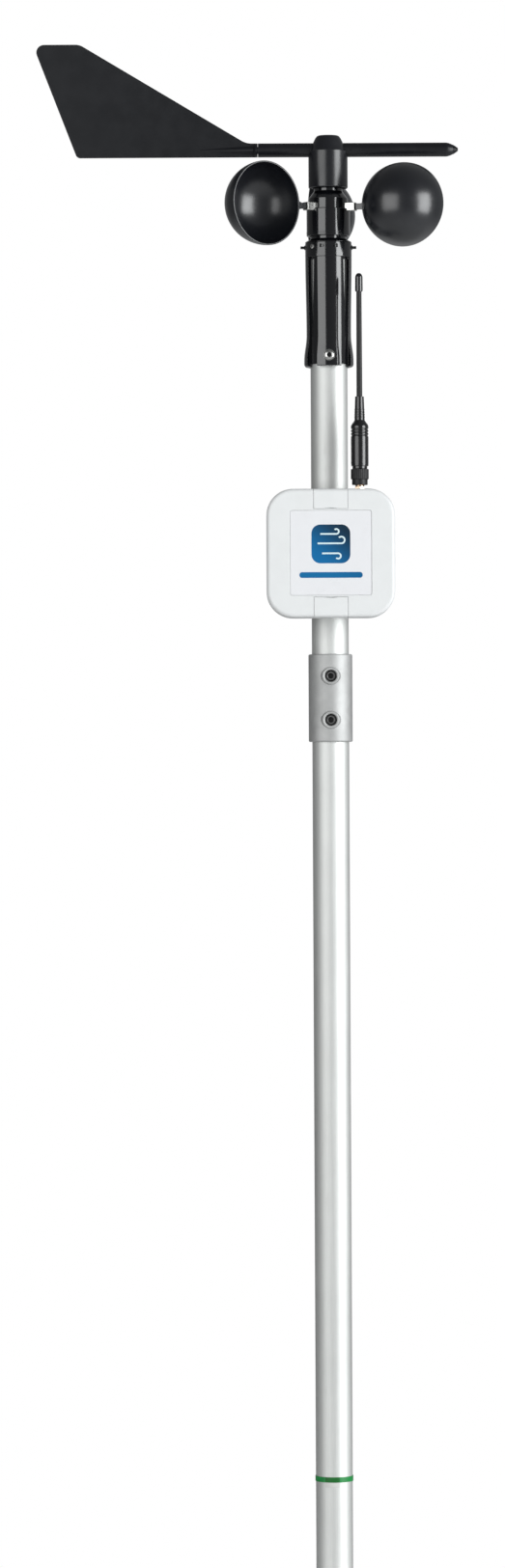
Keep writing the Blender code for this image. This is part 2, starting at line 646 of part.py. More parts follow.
def build_button_screw(name, parent, tip, seat):
    """Button-head screw with a hexagonal drive, pointing at the viewer."""
    top = seat + SOCKET_SCREW_HEAD_HEIGHT
    screw = turned(name, [
        (0, tip), (SOCKET_SCREW_SHANK, tip), (SOCKET_SCREW_SHANK, seat), (SOCKET_SCREW_HEAD, seat),
        (SOCKET_SCREW_HEAD * 0.93, seat + SOCKET_SCREW_HEAD_HEIGHT * 0.45),
        (SOCKET_SCREW_HEAD * 0.72, seat + SOCKET_SCREW_HEAD_HEIGHT * 0.82), (SOCKET_SCREW_HEAD * 0.45, top),
        (0, top),
    ], "stainless_steel", parent, FINE)
    cut(screw,
        hex_socket(f"{name}_drive", SOCKET_SCREW_SHANK * 1.2, seat + SOCKET_SCREW_HEAD_HEIGHT * 0.3,
                   top + RUN, parent))


def build_core(head):
    """Sensor core with the fixed spindle, the direction potentiometer, its board and the reed switch."""
    barrel_inner = CORE_BARREL_R - CORE_BARREL_WALL
    plug_top = COLLAR_HEIGHT + GAP
    hole = SPINDLE_RADIUS + GAP
    core = turned("sensor_core", [
        (barrel_inner, -CORE_BARREL_DEPTH), (CORE_BARREL_R, -CORE_BARREL_DEPTH),
        (CORE_BARREL_R, SHELF + 2 * GAP),
        (CORE_PLUG_R, SHELF + 2 * GAP), (CORE_PLUG_R, plug_top), (SOCKET_R, plug_top),
        (SOCKET_R, plug_top + CORE_CAP_RIM), (SOCKET_R - CORE_CAP_IN, plug_top + CORE_CAP_HEIGHT),
        (CORE_NECK_R, plug_top + CORE_CAP_HEIGHT), (CORE_NECK_R, CORE_NECK_TOP), (hole, CORE_NECK_TOP),
        (hole, -CORE_ROOF_DROP), (barrel_inner, -CORE_ROOF_DROP),
    ], "black_plastic", head)
    for quarter, (side, face) in enumerate(((1, 1), (-1, 1), (1, -1), (-1, -1))):
        tab = turned_window(f"snap_tab_{quarter}", side, face, head)
        low = (-WINDOW_WIDTH / 4, -SOCKET_R + COLLAR_LIP / 2, WINDOW_CENTRE - WINDOW_HEIGHT / 2 + 2 * GAP)
        high = (WINDOW_WIDTH / 4, -CORE_PLUG_R + RUN, WINDOW_CENTRE + WINDOW_HEIGHT / 2 - 2 * GAP)
        bm = block_mesh(low, high)
        bm.to_mesh(tab.data)
        bm.free()
        add(core, tab)
    ring("fixed_spindle", SPINDLE_BORE, SPINDLE_RADIUS, -CORE_ROOF_DROP, SPINDLE_TOP, "stainless_steel",
         head, FINE)
    run = SHAFT_RADIUS + GAP
    bush = SPINDLE_BORE - GAP
    turned("vane_bush_upper", [
        (run, SPINDLE_TOP - BUSH_LENGTH), (bush, SPINDLE_TOP - BUSH_LENGTH), (bush, SPINDLE_TOP + GAP),
        (SPINDLE_RADIUS, SPINDLE_TOP + GAP), (SPINDLE_RADIUS, SPINDLE_TOP + GAP + BUSH_FLANGE),
        (run, SPINDLE_TOP + GAP + BUSH_FLANGE),
    ], "brass", head, FINE)
    turned("vane_bush_lower", [
        (run, -CORE_ROOF_DROP + BUSH_LENGTH), (bush, -CORE_ROOF_DROP + BUSH_LENGTH),
        (bush, -CORE_ROOF_DROP - GAP),
        (SPINDLE_RADIUS, -CORE_ROOF_DROP - GAP), (SPINDLE_RADIUS, -CORE_ROOF_DROP - GAP - BUSH_FLANGE),
        (run, -CORE_ROOF_DROP - GAP - BUSH_FLANGE),
    ], "brass", head, FINE)
    pot_bottom = -POT_TOP_DROP - POT_HEIGHT
    turned("direction_potentiometer", [
        (0, pot_bottom), (POT_RADIUS, pot_bottom), (POT_RADIUS, -POT_TOP_DROP), (run, -POT_TOP_DROP),
        (run, -POT_TOP_DROP - POT_HEIGHT / 2), (0, -POT_TOP_DROP - POT_HEIGHT / 2),
    ], "plug_plastic", head, FINE)
    rod("sensor_circuit_board", barrel_inner - GAP, pot_bottom - GAP - BOARD_THICKNESS, pot_bottom - GAP,
        "circuit_board", head)
    reach = (CORE_NECK_R + SPINDLE_RADIUS) / 2 + REED_RADIUS
    rod("reed_switch", REED_RADIUS, -REED_LENGTH / 2, REED_LENGTH / 2, "reed_glass", head, SMALL,
        location=(0, -reach, CORE_NECK_TOP + GAP + REED_RADIUS), rotation=ALONG_X)


# ---------------------------------------------------------------- cup rotor


def build_rotor(rotor):
    """Cup hub on its two bearings, the magnet and the three cups. Heights are above the tube's top end."""
    seat = BEARING_RADIUS + GAP
    bore = BEARING_RADIUS - BEARING_SHOULDER
    inner = SKIRT_RADIUS - SKIRT_WALL
    boss = seat + BEARING_WALL
    roof = HUB_STEP - HUB_ROOF
    hub = turned("cup_hub", [
        (inner, HUB_BOTTOM), (SKIRT_RADIUS, HUB_BOTTOM), (SKIRT_RADIUS, HUB_STEP), (HUB_RADIUS, HUB_STEP),
        (HUB_RADIUS, HUB_SHOULDER), (HUB_NECK_RADIUS, HUB_CONE_TOP), (HUB_NECK_RADIUS, HUB_NECK_TOP),
        (seat, HUB_NECK_TOP), (seat, UPPER_BEARING - GAP), (bore, UPPER_BEARING - GAP),
        (bore, LOWER_BEARING + BEARING_WIDTH + GAP), (seat, LOWER_BEARING + BEARING_WIDTH + GAP),
        (seat, LOWER_BEARING - GAP), (boss, LOWER_BEARING - GAP), (boss, roof), (inner, roof),
    ], "black_plastic", rotor)
    magnet_orbit = (boss + inner) / 2
    rod("cup_magnet", MAGNET_RADIUS, roof - GAP - 3 * MAGNET_RADIUS, roof - GAP, "dark_steel", rotor, SMALL,
        location=(0, -magnet_orbit, 0))
    arm_start = HUB_RADIUS + 2 * RUN
    for index in range(CUP_COUNT):
        name = CUP_NAMES[index]
        heading = math.radians(ROTOR_ANGLE + index * 360 / CUP_COUNT)
        arm_frame = frame(f"arm_frame_{name}", (0, 0, ARM_HEIGHT), rotor, (0, 0, heading))
        add(hub, place(f"arm_block_{name}", block_mesh(
            (seat + BEARING_WALL, -ARM_BLOCK / 2, -ARM_BLOCK / 2),
            (ARM_BLOCK_END, ARM_BLOCK / 2, ARM_BLOCK / 2)),
            None, arm_frame))
        cut(hub, place(f"arm_hole_{name}", block_mesh(
            (arm_start - GAP, -ARM_THICK / 2 - GAP, -ARM_TALL / 2 - GAP),
            (ARM_BLOCK_END + RUN, ARM_THICK / 2 + GAP, ARM_TALL / 2 + GAP)), None, arm_frame))
        build_cup(name, arm_frame, arm_start)


def build_cup(name, arm_frame, arm_start):
    """One hemispherical cup and its arm. The arm lies along X and the mouth faces +Y."""
    steps = 7
    shell = arc((0, 0), CUP_RADIUS, 0, 90, steps)[:-1] + [(0, CUP_RADIUS)]
    inside = CUP_RADIUS - CUP_WALL
    hollow = [(0, inside)] + arc((0, 0), inside, 0, 90, steps)[:-1][::-1]
    mouth = math.radians(90)
    cup = turned(f"wind_cup_{name}", shell + hollow, "black_plastic", arm_frame, FINE,
                 location=(CUP_ORBIT, ARM_THICK / 2, 0), rotation=(mouth, 0, 0))
    root = CUP_ORBIT - CUP_RADIUS + CUP_WALL * 0.8
    flare = root - ARM_ROOT_LENGTH
    outline = [
        (arm_start, -ARM_TALL / 2), (flare, -ARM_TALL / 2), (root, -ARM_ROOT_TALL / 2),
        (root, ARM_ROOT_TALL / 2), (flare, ARM_TALL / 2), (arm_start, ARM_TALL / 2),
    ]
    add(cup, place(f"arm_{name}", prism_mesh(outline, -ARM_THICK / 2, ARM_THICK / 2), None, arm_frame,
                   rotation=(mouth, 0, 0)))


# ---------------------------------------------------------------- wind vane


def build_vane(vane):
    """Vane hub, shaft, nose boom and weight, tail boom and fin. Heights are above the tube's top end."""
    inner = VANE_RADIUS - VANE_WALL
    roof = VANE_SHOULDER - VANE_ROOF_DROP
    edge = 1.5 * MM
    bell = [(VANE_RADIUS - share * (VANE_RADIUS - VANE_TOP_RADIUS),
             VANE_SHOULDER + (VANE_TOP - VANE_SHOULDER) * math.sin(share * math.pi / 2) ** VANE_BELL)
            for share in (0.0, 0.2, 0.4, 0.7, 0.95)]
    run = SHAFT_RADIUS + GAP
    shaft_top = VANE_SHOULDER + edge
    hub = turned("vane_hub", [
        (inner, VANE_BOTTOM), (VANE_RADIUS - edge, VANE_BOTTOM), (VANE_RADIUS, VANE_BOTTOM + edge), *bell,
        (VANE_TOP_RADIUS - edge, VANE_TOP), (0, VANE_TOP), (0, shaft_top + GAP), (run, shaft_top + GAP),
        (run, roof), (inner, roof),
    ], "vane_plastic", vane)
    rod("vane_shaft", SHAFT_RADIUS, -POT_TOP_DROP - POT_HEIGHT / 2 + GAP, shaft_top, "stainless_steel", vane)
    rear = frame("vane_screw_frame", (0, 0, VANE_SCREW_HEIGHT), vane, (-math.radians(90), 0, 0))
    cut(hub, drill("vane_screw_hole", VANE_SCREW_RADIUS + GAP, 0, VANE_RADIUS + RUN, rear, SMALL))
    rod("vane_set_screw", VANE_SCREW_RADIUS, run, run + VANE_SCREW_LENGTH, "dark_steel", rear, SMALL)
    nose = frame("nose_frame", (0, 0, BOOM_HEIGHT), vane, ALONG_X)
    tail = frame("tail_frame", (0, 0, BOOM_HEIGHT), vane, (0, -math.radians(90), 0))
    for name, boom_frame in (("nose", nose), ("tail", tail)):
        cut(hub, drill(f"{name}_seat", BOOM_RADIUS + GAP, BOOM_SEAT, VANE_RADIUS + RUN, boom_frame, FINE))
    start = BOOM_SEAT + GAP
    taper = NOSE_REACH - NOSE_TAPER
    point = [(BOOM_RADIUS - (BOOM_RADIUS - NOSE_TIP_RADIUS) * share ** 1.7, taper + NOSE_TAPER * share)
             for share in (0.0, 0.3, 0.6, 0.85, 1.0)]
    turned("nose_boom", [
        (BOOM_BORE, start), (BOOM_RADIUS, start), *point, (0, NOSE_REACH), (0, taper), (BOOM_BORE, taper),
    ], "vane_plastic", nose, FINE)
    rod("nose_weight", BOOM_BORE - GAP, taper - GAP - WEIGHT_LENGTH, taper - GAP, "brass", nose, SMALL)
    ring("tail_boom", BOOM_BORE, BOOM_RADIUS, start, TAIL_BOOM_REACH, "vane_plastic", tail, FINE)
    build_fin(vane, tail)


def build_fin(vane, tail):
    """Tail fin: a swept plate on a collar, with a stub inside the tail boom and a tapered fairing."""
    collar_start = TAIL_BOOM_REACH + GAP
    collar_end = collar_start + FIN_COLLAR
    low = -BOOM_RADIUS
    high = low + FIN_HEIGHT
    rear_low = -FIN_REACH + FIN_SWEEP
    root = collar_end + FIN_ROOT
    outline = filleted([
        (-collar_end + FIN_COLLAR / 2, low), (-collar_end + FIN_COLLAR / 2, -low), (-root, -low),
        (-FIN_REACH + FIN_TOP_LENGTH, high), (-FIN_REACH, high), (rear_low, low),
    ], [0, 0, FIN_CORNER * 3, FIN_CORNER * 3, FIN_CORNER, FIN_CORNER])
    plate = place("fin_plate", prism_mesh(outline, -FIN_THICKNESS / 2, FIN_THICKNESS / 2), None, vane,
                  location=(0, 0, BOOM_HEIGHT), rotation=FACING_FRONT)
    stub = BOOM_BORE - GAP
    fin = turned("tail_fin", [
        (0, collar_start - FIN_STUB), (stub, collar_start - FIN_STUB), (stub, collar_start),
        (BOOM_RADIUS, collar_start), (BOOM_RADIUS, collar_end), (BOOM_RADIUS * 0.6, collar_end + FIN_COLLAR),
        (FIN_THICKNESS * 0.6, collar_end + FIN_FAIRING), (0, collar_end + FIN_FAIRING),
    ], "vane_plastic", tail, FINE)
    add(fin, plate)


# ---------------------------------------------------------------- radio box


def build_box(box):
    """Rear shell, gasket and front cover of the radio box, whose frame has y up and z to the front."""
    outer = rounded_rectangle(BOX_SIDE, BOX_SIDE, BOX_CORNER)
    inside = BOX_SIDE - 2 * BOX_WALL
    inner = rounded_rectangle(inside, inside, BOX_CORNER - BOX_WALL)
    shell = place("box_rear_shell", prism_mesh(outer, BOX_BACK, SHELL_FRONT), "white_plastic", box)
    cut(shell, place("shell_hollow", prism_mesh(inner, BOX_BACK + BOX_WALL, BOX_FRONT), None, box))
    floor = BOX_BACK + BOX_WALL
    screw_y = (FLAP_INNER + BOX_HALF - FLAP_THICKNESS) / 2
    for side, name in ((1, "top"), (-1, "bottom")):
        column = 2.6 * COVER_SCREW_RADIUS
        add(shell, rod(f"column_{name}", column, floor - BOX_WALL / 2, SHELL_FRONT, None, box, SMALL,
                       location=(0, side * screw_y, 0)))
        cut(shell, drill(f"column_hole_{name}", COVER_SCREW_RADIUS + GAP,
                         SHELL_FRONT - COVER_SCREW_BITE - GAP, BOX_FRONT, box, SMALL,
                         location=(0, side * screw_y, 0)))
    cut(shell, drill("box_cable_hole", GROMMET_NECK + GAP, 0, floor + RUN, box))
    for side, name in ((1, "right"), (-1, "left")):
        cut(shell, drill(f"bracket_hole_{name}", BRACKET_SCREW_RADIUS + GAP, 0, floor + RUN, box, SMALL,
                         location=(side * BRACKET_SCREW_X, 0, 0)))
    up = (-math.radians(90), 0, 0)
    cut(shell, drill("antenna_hole", BULKHEAD_RADIUS + GAP, BOX_HALF - 2 * BOX_WALL, BOX_HALF + RUN, box,
                     location=(ANTENNA_X, 0, BOX_BACK + ANTENNA_BACK), rotation=up))
    gasket_outer = rounded_rectangle(BOX_SIDE - 2 * GASKET_IN, BOX_SIDE - 2 * GASKET_IN,
                                     BOX_CORNER - GASKET_IN)
    gasket = place("box_gasket", prism_mesh(gasket_outer, SHELL_FRONT + GAP, SHELL_FRONT + GAP + GASKET),
                   "sealing_rubber", box)
    cut(gasket, place("gasket_hollow", prism_mesh(inner, BOX_BACK, BOX_FRONT), None, box))
    build_cover(box, inner, screw_y)


def flap_side_view(spare):
    """Side view of a flap, as (height, forward), grown by spare, so that the flap and its pocket share it.

    It gives the plate's back, the return's underside, and the barrel's outer quarter and its other arc.
    """
    axis = (BOX_HALF - FLAP_BARREL, BOX_FRONT - FLAP_RETURN)
    barrel = FLAP_BARREL + spare
    back = BOX_FRONT - FLAP_THICKNESS - spare
    under = BOX_HALF - FLAP_THICKNESS - spare
    lean = math.degrees(math.asin(min(1.0, (axis[0] - under) / barrel)))
    return back, under, arc(axis, barrel, 0, -90, 4), arc(axis, barrel, -90, -180 - lean, 6)


def build_cover(box, inner, screw_y):
    """Front cover with the label's recess and two flap pockets, then the pins and the cover screws."""
    def square(inset):
        """The box's outline, taken in."""
        return rounded_rectangle(BOX_SIDE - 2 * inset, BOX_SIDE - 2 * inset, BOX_CORNER - inset)

    layers = [(square(0), COVER_BACK), (square(0), BOX_FRONT - COVER_EDGE)]
    for turn in (30, 60, 90):
        angle = math.radians(turn)
        layers.append((square(COVER_EDGE * (1 - math.cos(angle))),
                       BOX_FRONT - COVER_EDGE * (1 - math.sin(angle))))
    cover = place("box_front_cover", lofted_mesh(layers), "white_plastic", box)
    cavity = place("cover_hollow", prism_mesh(inner, COVER_BACK - RUN, BOX_FRONT - BOX_WALL - LABEL_RECESS),
                   None, box)
    pocket_half = FLAP_WIDTH / 2 + GAP
    wall = BOX_WALL + FLAP_PIN_BITE
    for side, name in ((1, "top"), (-1, "bottom")):
        low = FLAP_INNER - GAP - BOX_WALL
        keep = block_mesh((-pocket_half - wall, low, COVER_BACK - 2 * RUN),
                          (pocket_half + wall, BOX_HALF, BOX_FRONT))
        bmesh.ops.scale(keep, verts=keep.verts, vec=(1, side, 1))
        cut(cavity, place(f"pocket_block_{name}", keep, None, box))
    cut(cover, cavity)
    cut(cover, place("label_recess", prism_mesh(
        rounded_rectangle(LABEL_WIDTH, LABEL_HEIGHT, LABEL_CORNER, 3), BOX_FRONT - LABEL_RECESS,
        BOX_FRONT + RUN),
        None, box))
    label_side = 2 * GAP
    place("front_label", prism_mesh(
        rounded_rectangle(LABEL_WIDTH - label_side, LABEL_HEIGHT - label_side, LABEL_CORNER - GAP, 3),
        BOX_FRONT - LABEL_RECESS + GAP, BOX_FRONT - LABEL_RECESS + GAP + LABEL_THICKNESS), "label_film", box)
    for side, name in ((1, "top"), (-1, "bottom")):
        build_flap_bay(box, cover, side, name, pocket_half, screw_y)


def across_x(points, half, side):
    """A prism across X from a side view of (height, forward), mirrored for the lower flap."""
    bm = prism_mesh(points, -half, half)
    bmesh.ops.transform(bm, matrix=Matrix(((0, 0, 1, 0), (side, 0, 0, 0), (0, 1, 0, 0), (0, 0, 0, 1))),
                        verts=bm.verts)
    return bm


def build_flap_bay(box, cover, side, name, pocket_half, screw_y):
    """One pocket in the cover with its screw and hinge pin. The flap is made on its own hinge frame."""
    back, under, _, barrel = flap_side_view(GAP)
    beyond = BOX_HALF + RUN
    forward = BOX_FRONT + RUN
    pocket = [(FLAP_INNER - GAP, forward), (FLAP_INNER - GAP, back), (under, back), *reversed(barrel)]
    pocket += [(beyond, barrel[0][1]), (beyond, forward)]
    cut(cover, place(f"flap_pocket_{name}", across_x(pocket, pocket_half, side), None, box))
    pin_at = (0, side * (BOX_HALF - FLAP_BARREL), BOX_FRONT - FLAP_RETURN)
    reach = FLAP_WIDTH / 2 + FLAP_PIN_BITE
    cut(cover, drill(f"pin_hole_{name}", FLAP_PIN + GAP, -reach - GAP, reach + GAP, box, SMALL,
                     location=pin_at, rotation=ALONG_X))
    rod(f"{name}_flap_pin", FLAP_PIN, -reach, reach, "stainless_steel", box, SMALL,
        location=pin_at, rotation=ALONG_X)
    head_top = back - GAP
    head_low = head_top - COVER_SCREW_HEAD_HEIGHT
    at = (0, side * screw_y, 0)
    cut(cover,
        rod(f"cover_screw_well_{name}", COVER_SCREW_HEAD + GAP, head_low - GAP, forward, None, box, SMALL,
            location=at),
        drill(f"cover_screw_hole_{name}", COVER_SCREW_RADIUS + GAP, COVER_BACK - RUN, forward, box, SMALL,
              location=at))
    screw = turned(f"cover_screw_{name}", [
        (0, SHELL_FRONT - COVER_SCREW_BITE), (COVER_SCREW_RADIUS, SHELL_FRONT - COVER_SCREW_BITE),
        (COVER_SCREW_RADIUS, head_low), (COVER_SCREW_HEAD, head_low), (COVER_SCREW_HEAD, head_top),
        (0, head_top),
    ], "stainless_steel", box, SMALL, location=at)
    drive = COVER_SCREW_RADIUS
    slot = block_mesh((-2 * drive, -drive / 4, head_top - drive / 2),
                      (2 * drive, drive / 4, head_top + drive))
    cut(screw, place(f"cover_screw_slot_{name}", slot, None, box, location=at))


def build_flap(box, side, name):
    """A snap flap over a cover screw, on a frame that lies on its hinge axis."""
    back, under, quarter, barrel = flap_side_view(0.0)
    edge = arc((BOX_HALF - COVER_EDGE, BOX_FRONT - COVER_EDGE), COVER_EDGE, 0, 90, 3)
    points = [(FLAP_INNER, back), (under, back), *reversed(quarter + barrel[1:]), *edge,
              (FLAP_INNER, BOX_FRONT)]
    hinge = (side * (BOX_HALF - FLAP_BARREL), BOX_FRONT - FLAP_RETURN)
    hinge_frame = frame(f"{name}_flap_hinge", (0, *hinge), box)
    home = (0, -hinge[0], -hinge[1])
    flap = place(f"{name}_screw_flap", across_x(points, FLAP_WIDTH / 2, side), "white_plastic", hinge_frame,
                 location=home)
    cut(flap, drill(f"{name}_flap_bore", FLAP_PIN + GAP, -FLAP_WIDTH, FLAP_WIDTH, hinge_frame, SMALL,
                    rotation=ALONG_X))
    radius = (FLAP_NOTCH_WIDTH ** 2 / 4 + FLAP_NOTCH_DEPTH ** 2) / (2 * FLAP_NOTCH_DEPTH)
    centre = side * (FLAP_INNER + FLAP_NOTCH_DEPTH - radius)
    cut(flap, drill(f"{name}_flap_notch", radius, back - RUN, BOX_FRONT + RUN, hinge_frame, ROUND * 2,
                    location=(0, centre - hinge[0], -hinge[1])))


def stadium(radius, forward):
    """Plan of a band: round the mast's back, and a second bend further forward. Y is forward here."""
    return arc((0, 0), radius, 180, 360, ROUND // 2) + arc((0, forward), radius, 0, 180, ROUND // 2)


def build_bracket(box):
    """Moulded saddle between the box and the mast, with two worm-drive bands and two screws."""
    half = BRACKET_WIDTH / 2
    bracket = place("mast_bracket", block_mesh(
        (-half, -BRACKET_HEIGHT / 2, BRACKET_WRAP), (half, BRACKET_HEIGHT / 2, BOX_BACK - GAP)),
        "plug_plastic", box)
    plan = (math.radians(90), 0, 0)
    cut(bracket, drill("saddle", SLIP_R, -BRACKET_HEIGHT, BRACKET_HEIGHT, box, ROUND, rotation=plan))
    cut(bracket, drill("bracket_cable_hole", GROMMET_NECK + GAP, 0, BOX_BACK + RUN, box))
    inner = SLIP_R
    outer = SLIP_R + BAND_THICKNESS
    for side, name in ((1, "upper"), (-1, "lower")):
        seat = frame(f"band_frame_{name}", (0, side * BAND_SPACING / 2, 0), box, (-math.radians(90), 0, 0))
        tall = BAND_WIDTH / 2

        def band_plan(radius):
            """The band's plan in this frame, whose y points to the back."""
            return [(x, -y) for x, y in stadium(radius, BAND_STRETCH)]

        groove = place(f"band_groove_{name}", prism_mesh(band_plan(outer + GAP), -tall - GAP, tall + GAP),
                       None, seat)
        cut(groove, place(f"band_groove_core_{name}",
                          prism_mesh(band_plan(inner - GAP), -BAND_WIDTH, BAND_WIDTH), None, seat))
        cut(bracket, groove)
        band = place(f"mast_band_{name}", prism_mesh(band_plan(outer), -tall, tall), "stainless_steel", seat)
        cut(band, place(f"band_core_{name}", prism_mesh(band_plan(inner), -BAND_WIDTH, BAND_WIDTH),
                        None, seat))
        length, depth = BAND_HOUSING
        housing = block_mesh((-length / 2, inner + BAND_THICKNESS / 4, -tall),
                             (length / 2, outer + depth, tall))
        add(band, place(f"band_housing_{name}", housing, None, seat))
        worm = (0, outer + depth / 2, 0)
        head_end = length / 2 + WORM_HEAD_HEIGHT
        cut(band, drill(f"worm_hole_{name}", WORM_RADIUS + GAP, -length, length, seat, SMALL,
                        location=worm, rotation=ALONG_X))
        screw = turned(f"band_screw_{name}", [
            (0, WORM_TIP - length / 2), (WORM_RADIUS, WORM_TIP - length / 2),
            (WORM_RADIUS, length / 2 + GAP), (WORM_HEAD, length / 2 + GAP), (WORM_HEAD, head_end),
            (0, head_end),
        ], "stainless_steel", seat, SMALL, location=worm, rotation=ALONG_X)
        cut(screw, place(f"band_screw_slot_{name}", block_mesh(
            (head_end - WORM_SLOT_DEPTH, -WORM_SLOT / 2, -depth), (head_end + depth, WORM_SLOT / 2, depth)),
            None, seat, location=worm))
    tip = BOX_BACK - BRACKET_SCREW_LENGTH
    seat_z = BOX_BACK + BOX_WALL + GAP
    for side, name in ((1, "right"), (-1, "left")):
        at = (side * BRACKET_SCREW_X, 0, 0)
        cut(bracket, drill(f"bracket_bore_{name}", BRACKET_SCREW_RADIUS + GAP, tip - GAP, BOX_BACK + RUN,
                           box, SMALL, location=at))
        turned(f"bracket_screw_{name}", [
            (0, tip), (BRACKET_SCREW_RADIUS, tip), (BRACKET_SCREW_RADIUS, seat_z),
            (BRACKET_SCREW_RADIUS * 1.8, seat_z),
            (BRACKET_SCREW_RADIUS * 1.8, seat_z + BRACKET_SCREW_RADIUS * 0.9),
            (0, seat_z + BRACKET_SCREW_RADIUS * 0.9),
        ], "stainless_steel", box, SMALL, location=at)


def build_grommet(box):
    """Rubber sleeve that carries the sensor cable from the mast into the box."""
    tube_wall = math.sqrt(MAST_BORE ** 2 - GROMMET_FLANGE ** 2) - 2 * GAP
    box_wall = BOX_BACK + BOX_WALL + GAP
    turned("cable_grommet", [
        (GROMMET_BORE, tube_wall - GROMMET_FLANGE_THICK), (GROMMET_FLANGE, tube_wall - GROMMET_FLANGE_THICK),
        (GROMMET_FLANGE, tube_wall), (GROMMET_NECK, tube_wall), (GROMMET_NECK, box_wall),
        (GROMMET_FLANGE, box_wall),
        (GROMMET_FLANGE, box_wall + GROMMET_FLANGE_THICK), (GROMMET_BORE, box_wall + GROMMET_FLANGE_THICK),
    ], "sealing_rubber", box, FINE)


def build_electronics(box):
    """Radio board, battery holder and its two cells, inside the rear shell."""
    board_back = BOX_BACK + BOX_WALL + BOARD_STANDOFF + GAP
    board_front = board_back + BOARD_THICKNESS
    place("radio_circuit_board", block_mesh(
        (-BOARD_WIDTH / 2, -BOARD_HEIGHT / 2, board_back), (BOARD_WIDTH / 2, BOARD_HEIGHT / 2, board_front)),
        "circuit_board", box)
    floor = board_front + GAP
    half = CELL_LENGTH / 2 + GAP + HOLDER_END
    tall = CELL_SPACING / 2 + CELL_RADIUS + HOLDER_END
    holder = place("battery_holder",
                   block_mesh((-half, -tall, floor), (half, tall, floor + HOLDER_FLOOR + CELL_RADIUS)),
                   "plug_plastic", box)
    cells = floor + HOLDER_FLOOR + GAP + CELL_RADIUS
    inside = half - HOLDER_END
    cut(holder, place("holder_hollow", block_mesh(
        (-inside, -tall + HOLDER_END - GAP, floor + HOLDER_FLOOR),
        (inside, tall - HOLDER_END + GAP, cells + CELL_RADIUS)),
        None, box))
    for side, name in ((1, "upper"), (-1, "lower")):
        rod(f"battery_cell_{name}", CELL_RADIUS, -CELL_LENGTH / 2, CELL_LENGTH / 2, "battery_wrap", box, FINE,
            location=(0, side * CELL_SPACING / 2, cells), rotation=ALONG_X)


# ---------------------------------------------------------------- antenna


def build_antenna(antenna):
    """Bulkhead connector and the whip antenna on it. Heights are above the box's top face."""
    wall_under = -BOX_WALL - GAP
    turned("antenna_bulkhead", [
        (0, wall_under - BOX_WALL), (BULKHEAD_FLANGE, wall_under - BOX_WALL), (BULKHEAD_FLANGE, wall_under),
        (BULKHEAD_RADIUS, wall_under), (BULKHEAD_RADIUS, GAP), (BULKHEAD_FLANGE, GAP),
        (BULKHEAD_FLANGE, 3 * GAP),
        (BULKHEAD_RADIUS, ANTENNA_BASE / 2), (BULKHEAD_RADIUS, ANTENNA_BASE + NUT_BORE_DEPTH - GAP),
        (0, ANTENNA_BASE + NUT_BORE_DEPTH - GAP),
    ], "gold_plate", antenna, FINE)
    bore = BULKHEAD_RADIUS + GAP
    nut_top = ANTENNA_BASE + NUT_HEIGHT
    turned("antenna_knurled_nut", [
        (bore, ANTENNA_BASE), (NUT_NECK_RADIUS, ANTENNA_BASE),
        (NUT_NECK_RADIUS, ANTENNA_BASE + NUT_NECK_HEIGHT),
        (NUT_RADIUS, ANTENNA_BASE + NUT_NECK_HEIGHT), (NUT_RADIUS, nut_top), (0, nut_top),
        (0, ANTENNA_BASE + NUT_BORE_DEPTH), (bore, ANTENNA_BASE + NUT_BORE_DEPTH),
    ], "antenna_rubber", antenna, FINE)
    grip_low = nut_top + GAP
    grip_top = grip_low + GRIP_HEIGHT
    groove_low = grip_low + GRIP_FOOT
    profile = [(0, grip_low), (GRIP_RADIUS * 0.85, grip_low), (GRIP_RADIUS * 0.85, groove_low),
               (GRIP_RADIUS * 0.98, groove_low), (GRIP_RADIUS, groove_low + GROOVE_PITCH)]
    for index in range(GRIP_GROOVES):
        z = grip_top - (GRIP_GROOVES - index) * GROOVE_PITCH
        profile += [(GRIP_RADIUS, z - GROOVE_PITCH * 0.25), (GRIP_RADIUS - GROOVE_DEPTH, z),
                    (GRIP_RADIUS, z + GROOVE_PITCH * 0.25)]
    shoulder = grip_top + GRIP_SHOULDER
    sleeve_top = shoulder + SLEEVE_LENGTH
    whip_hole = WHIP_BOTTOM_RADIUS + GAP
    profile += [(GRIP_RADIUS, grip_top), (SLEEVE_BOTTOM_RADIUS * 1.25, shoulder - 1.2 * MM),
                (SLEEVE_BOTTOM_RADIUS, shoulder), (SLEEVE_TOP_RADIUS, sleeve_top), (whip_hole, sleeve_top),
                (whip_hole, sleeve_top - WHIP_SEAT), (0, sleeve_top - WHIP_SEAT)]
    turned("antenna_grip", profile, "antenna_rubber", antenna, FINE)
    whip_low = sleeve_top - WHIP_SEAT + GAP
    tip_low = sleeve_top + WHIP_EXPOSED
    whip_top = tip_low + TIP_SEAT - GAP
    turned("antenna_whip", [
        (0, whip_low), (WHIP_BOTTOM_RADIUS, whip_low), (WHIP_TOP_RADIUS, whip_top), (0, whip_top),
    ], "antenna_rubber", antenna, SMALL)
    tip_hole = WHIP_TOP_RADIUS + GAP
    turned("antenna_tip_cap", [
        (tip_hole, tip_low), (TIP_RADIUS * 0.93, tip_low), (TIP_RADIUS, tip_low + TIP_SEAT * 0.3),
        (TIP_RADIUS * 0.97, tip_low + TIP_LENGTH - TIP_CONE),
        (TIP_RADIUS * 0.6, tip_low + TIP_LENGTH - TIP_CONE * 0.4),
        (0, tip_low + TIP_LENGTH), (0, tip_low + TIP_SEAT), (tip_hole, tip_low + TIP_SEAT),
    ], "antenna_rubber", antenna, SMALL)


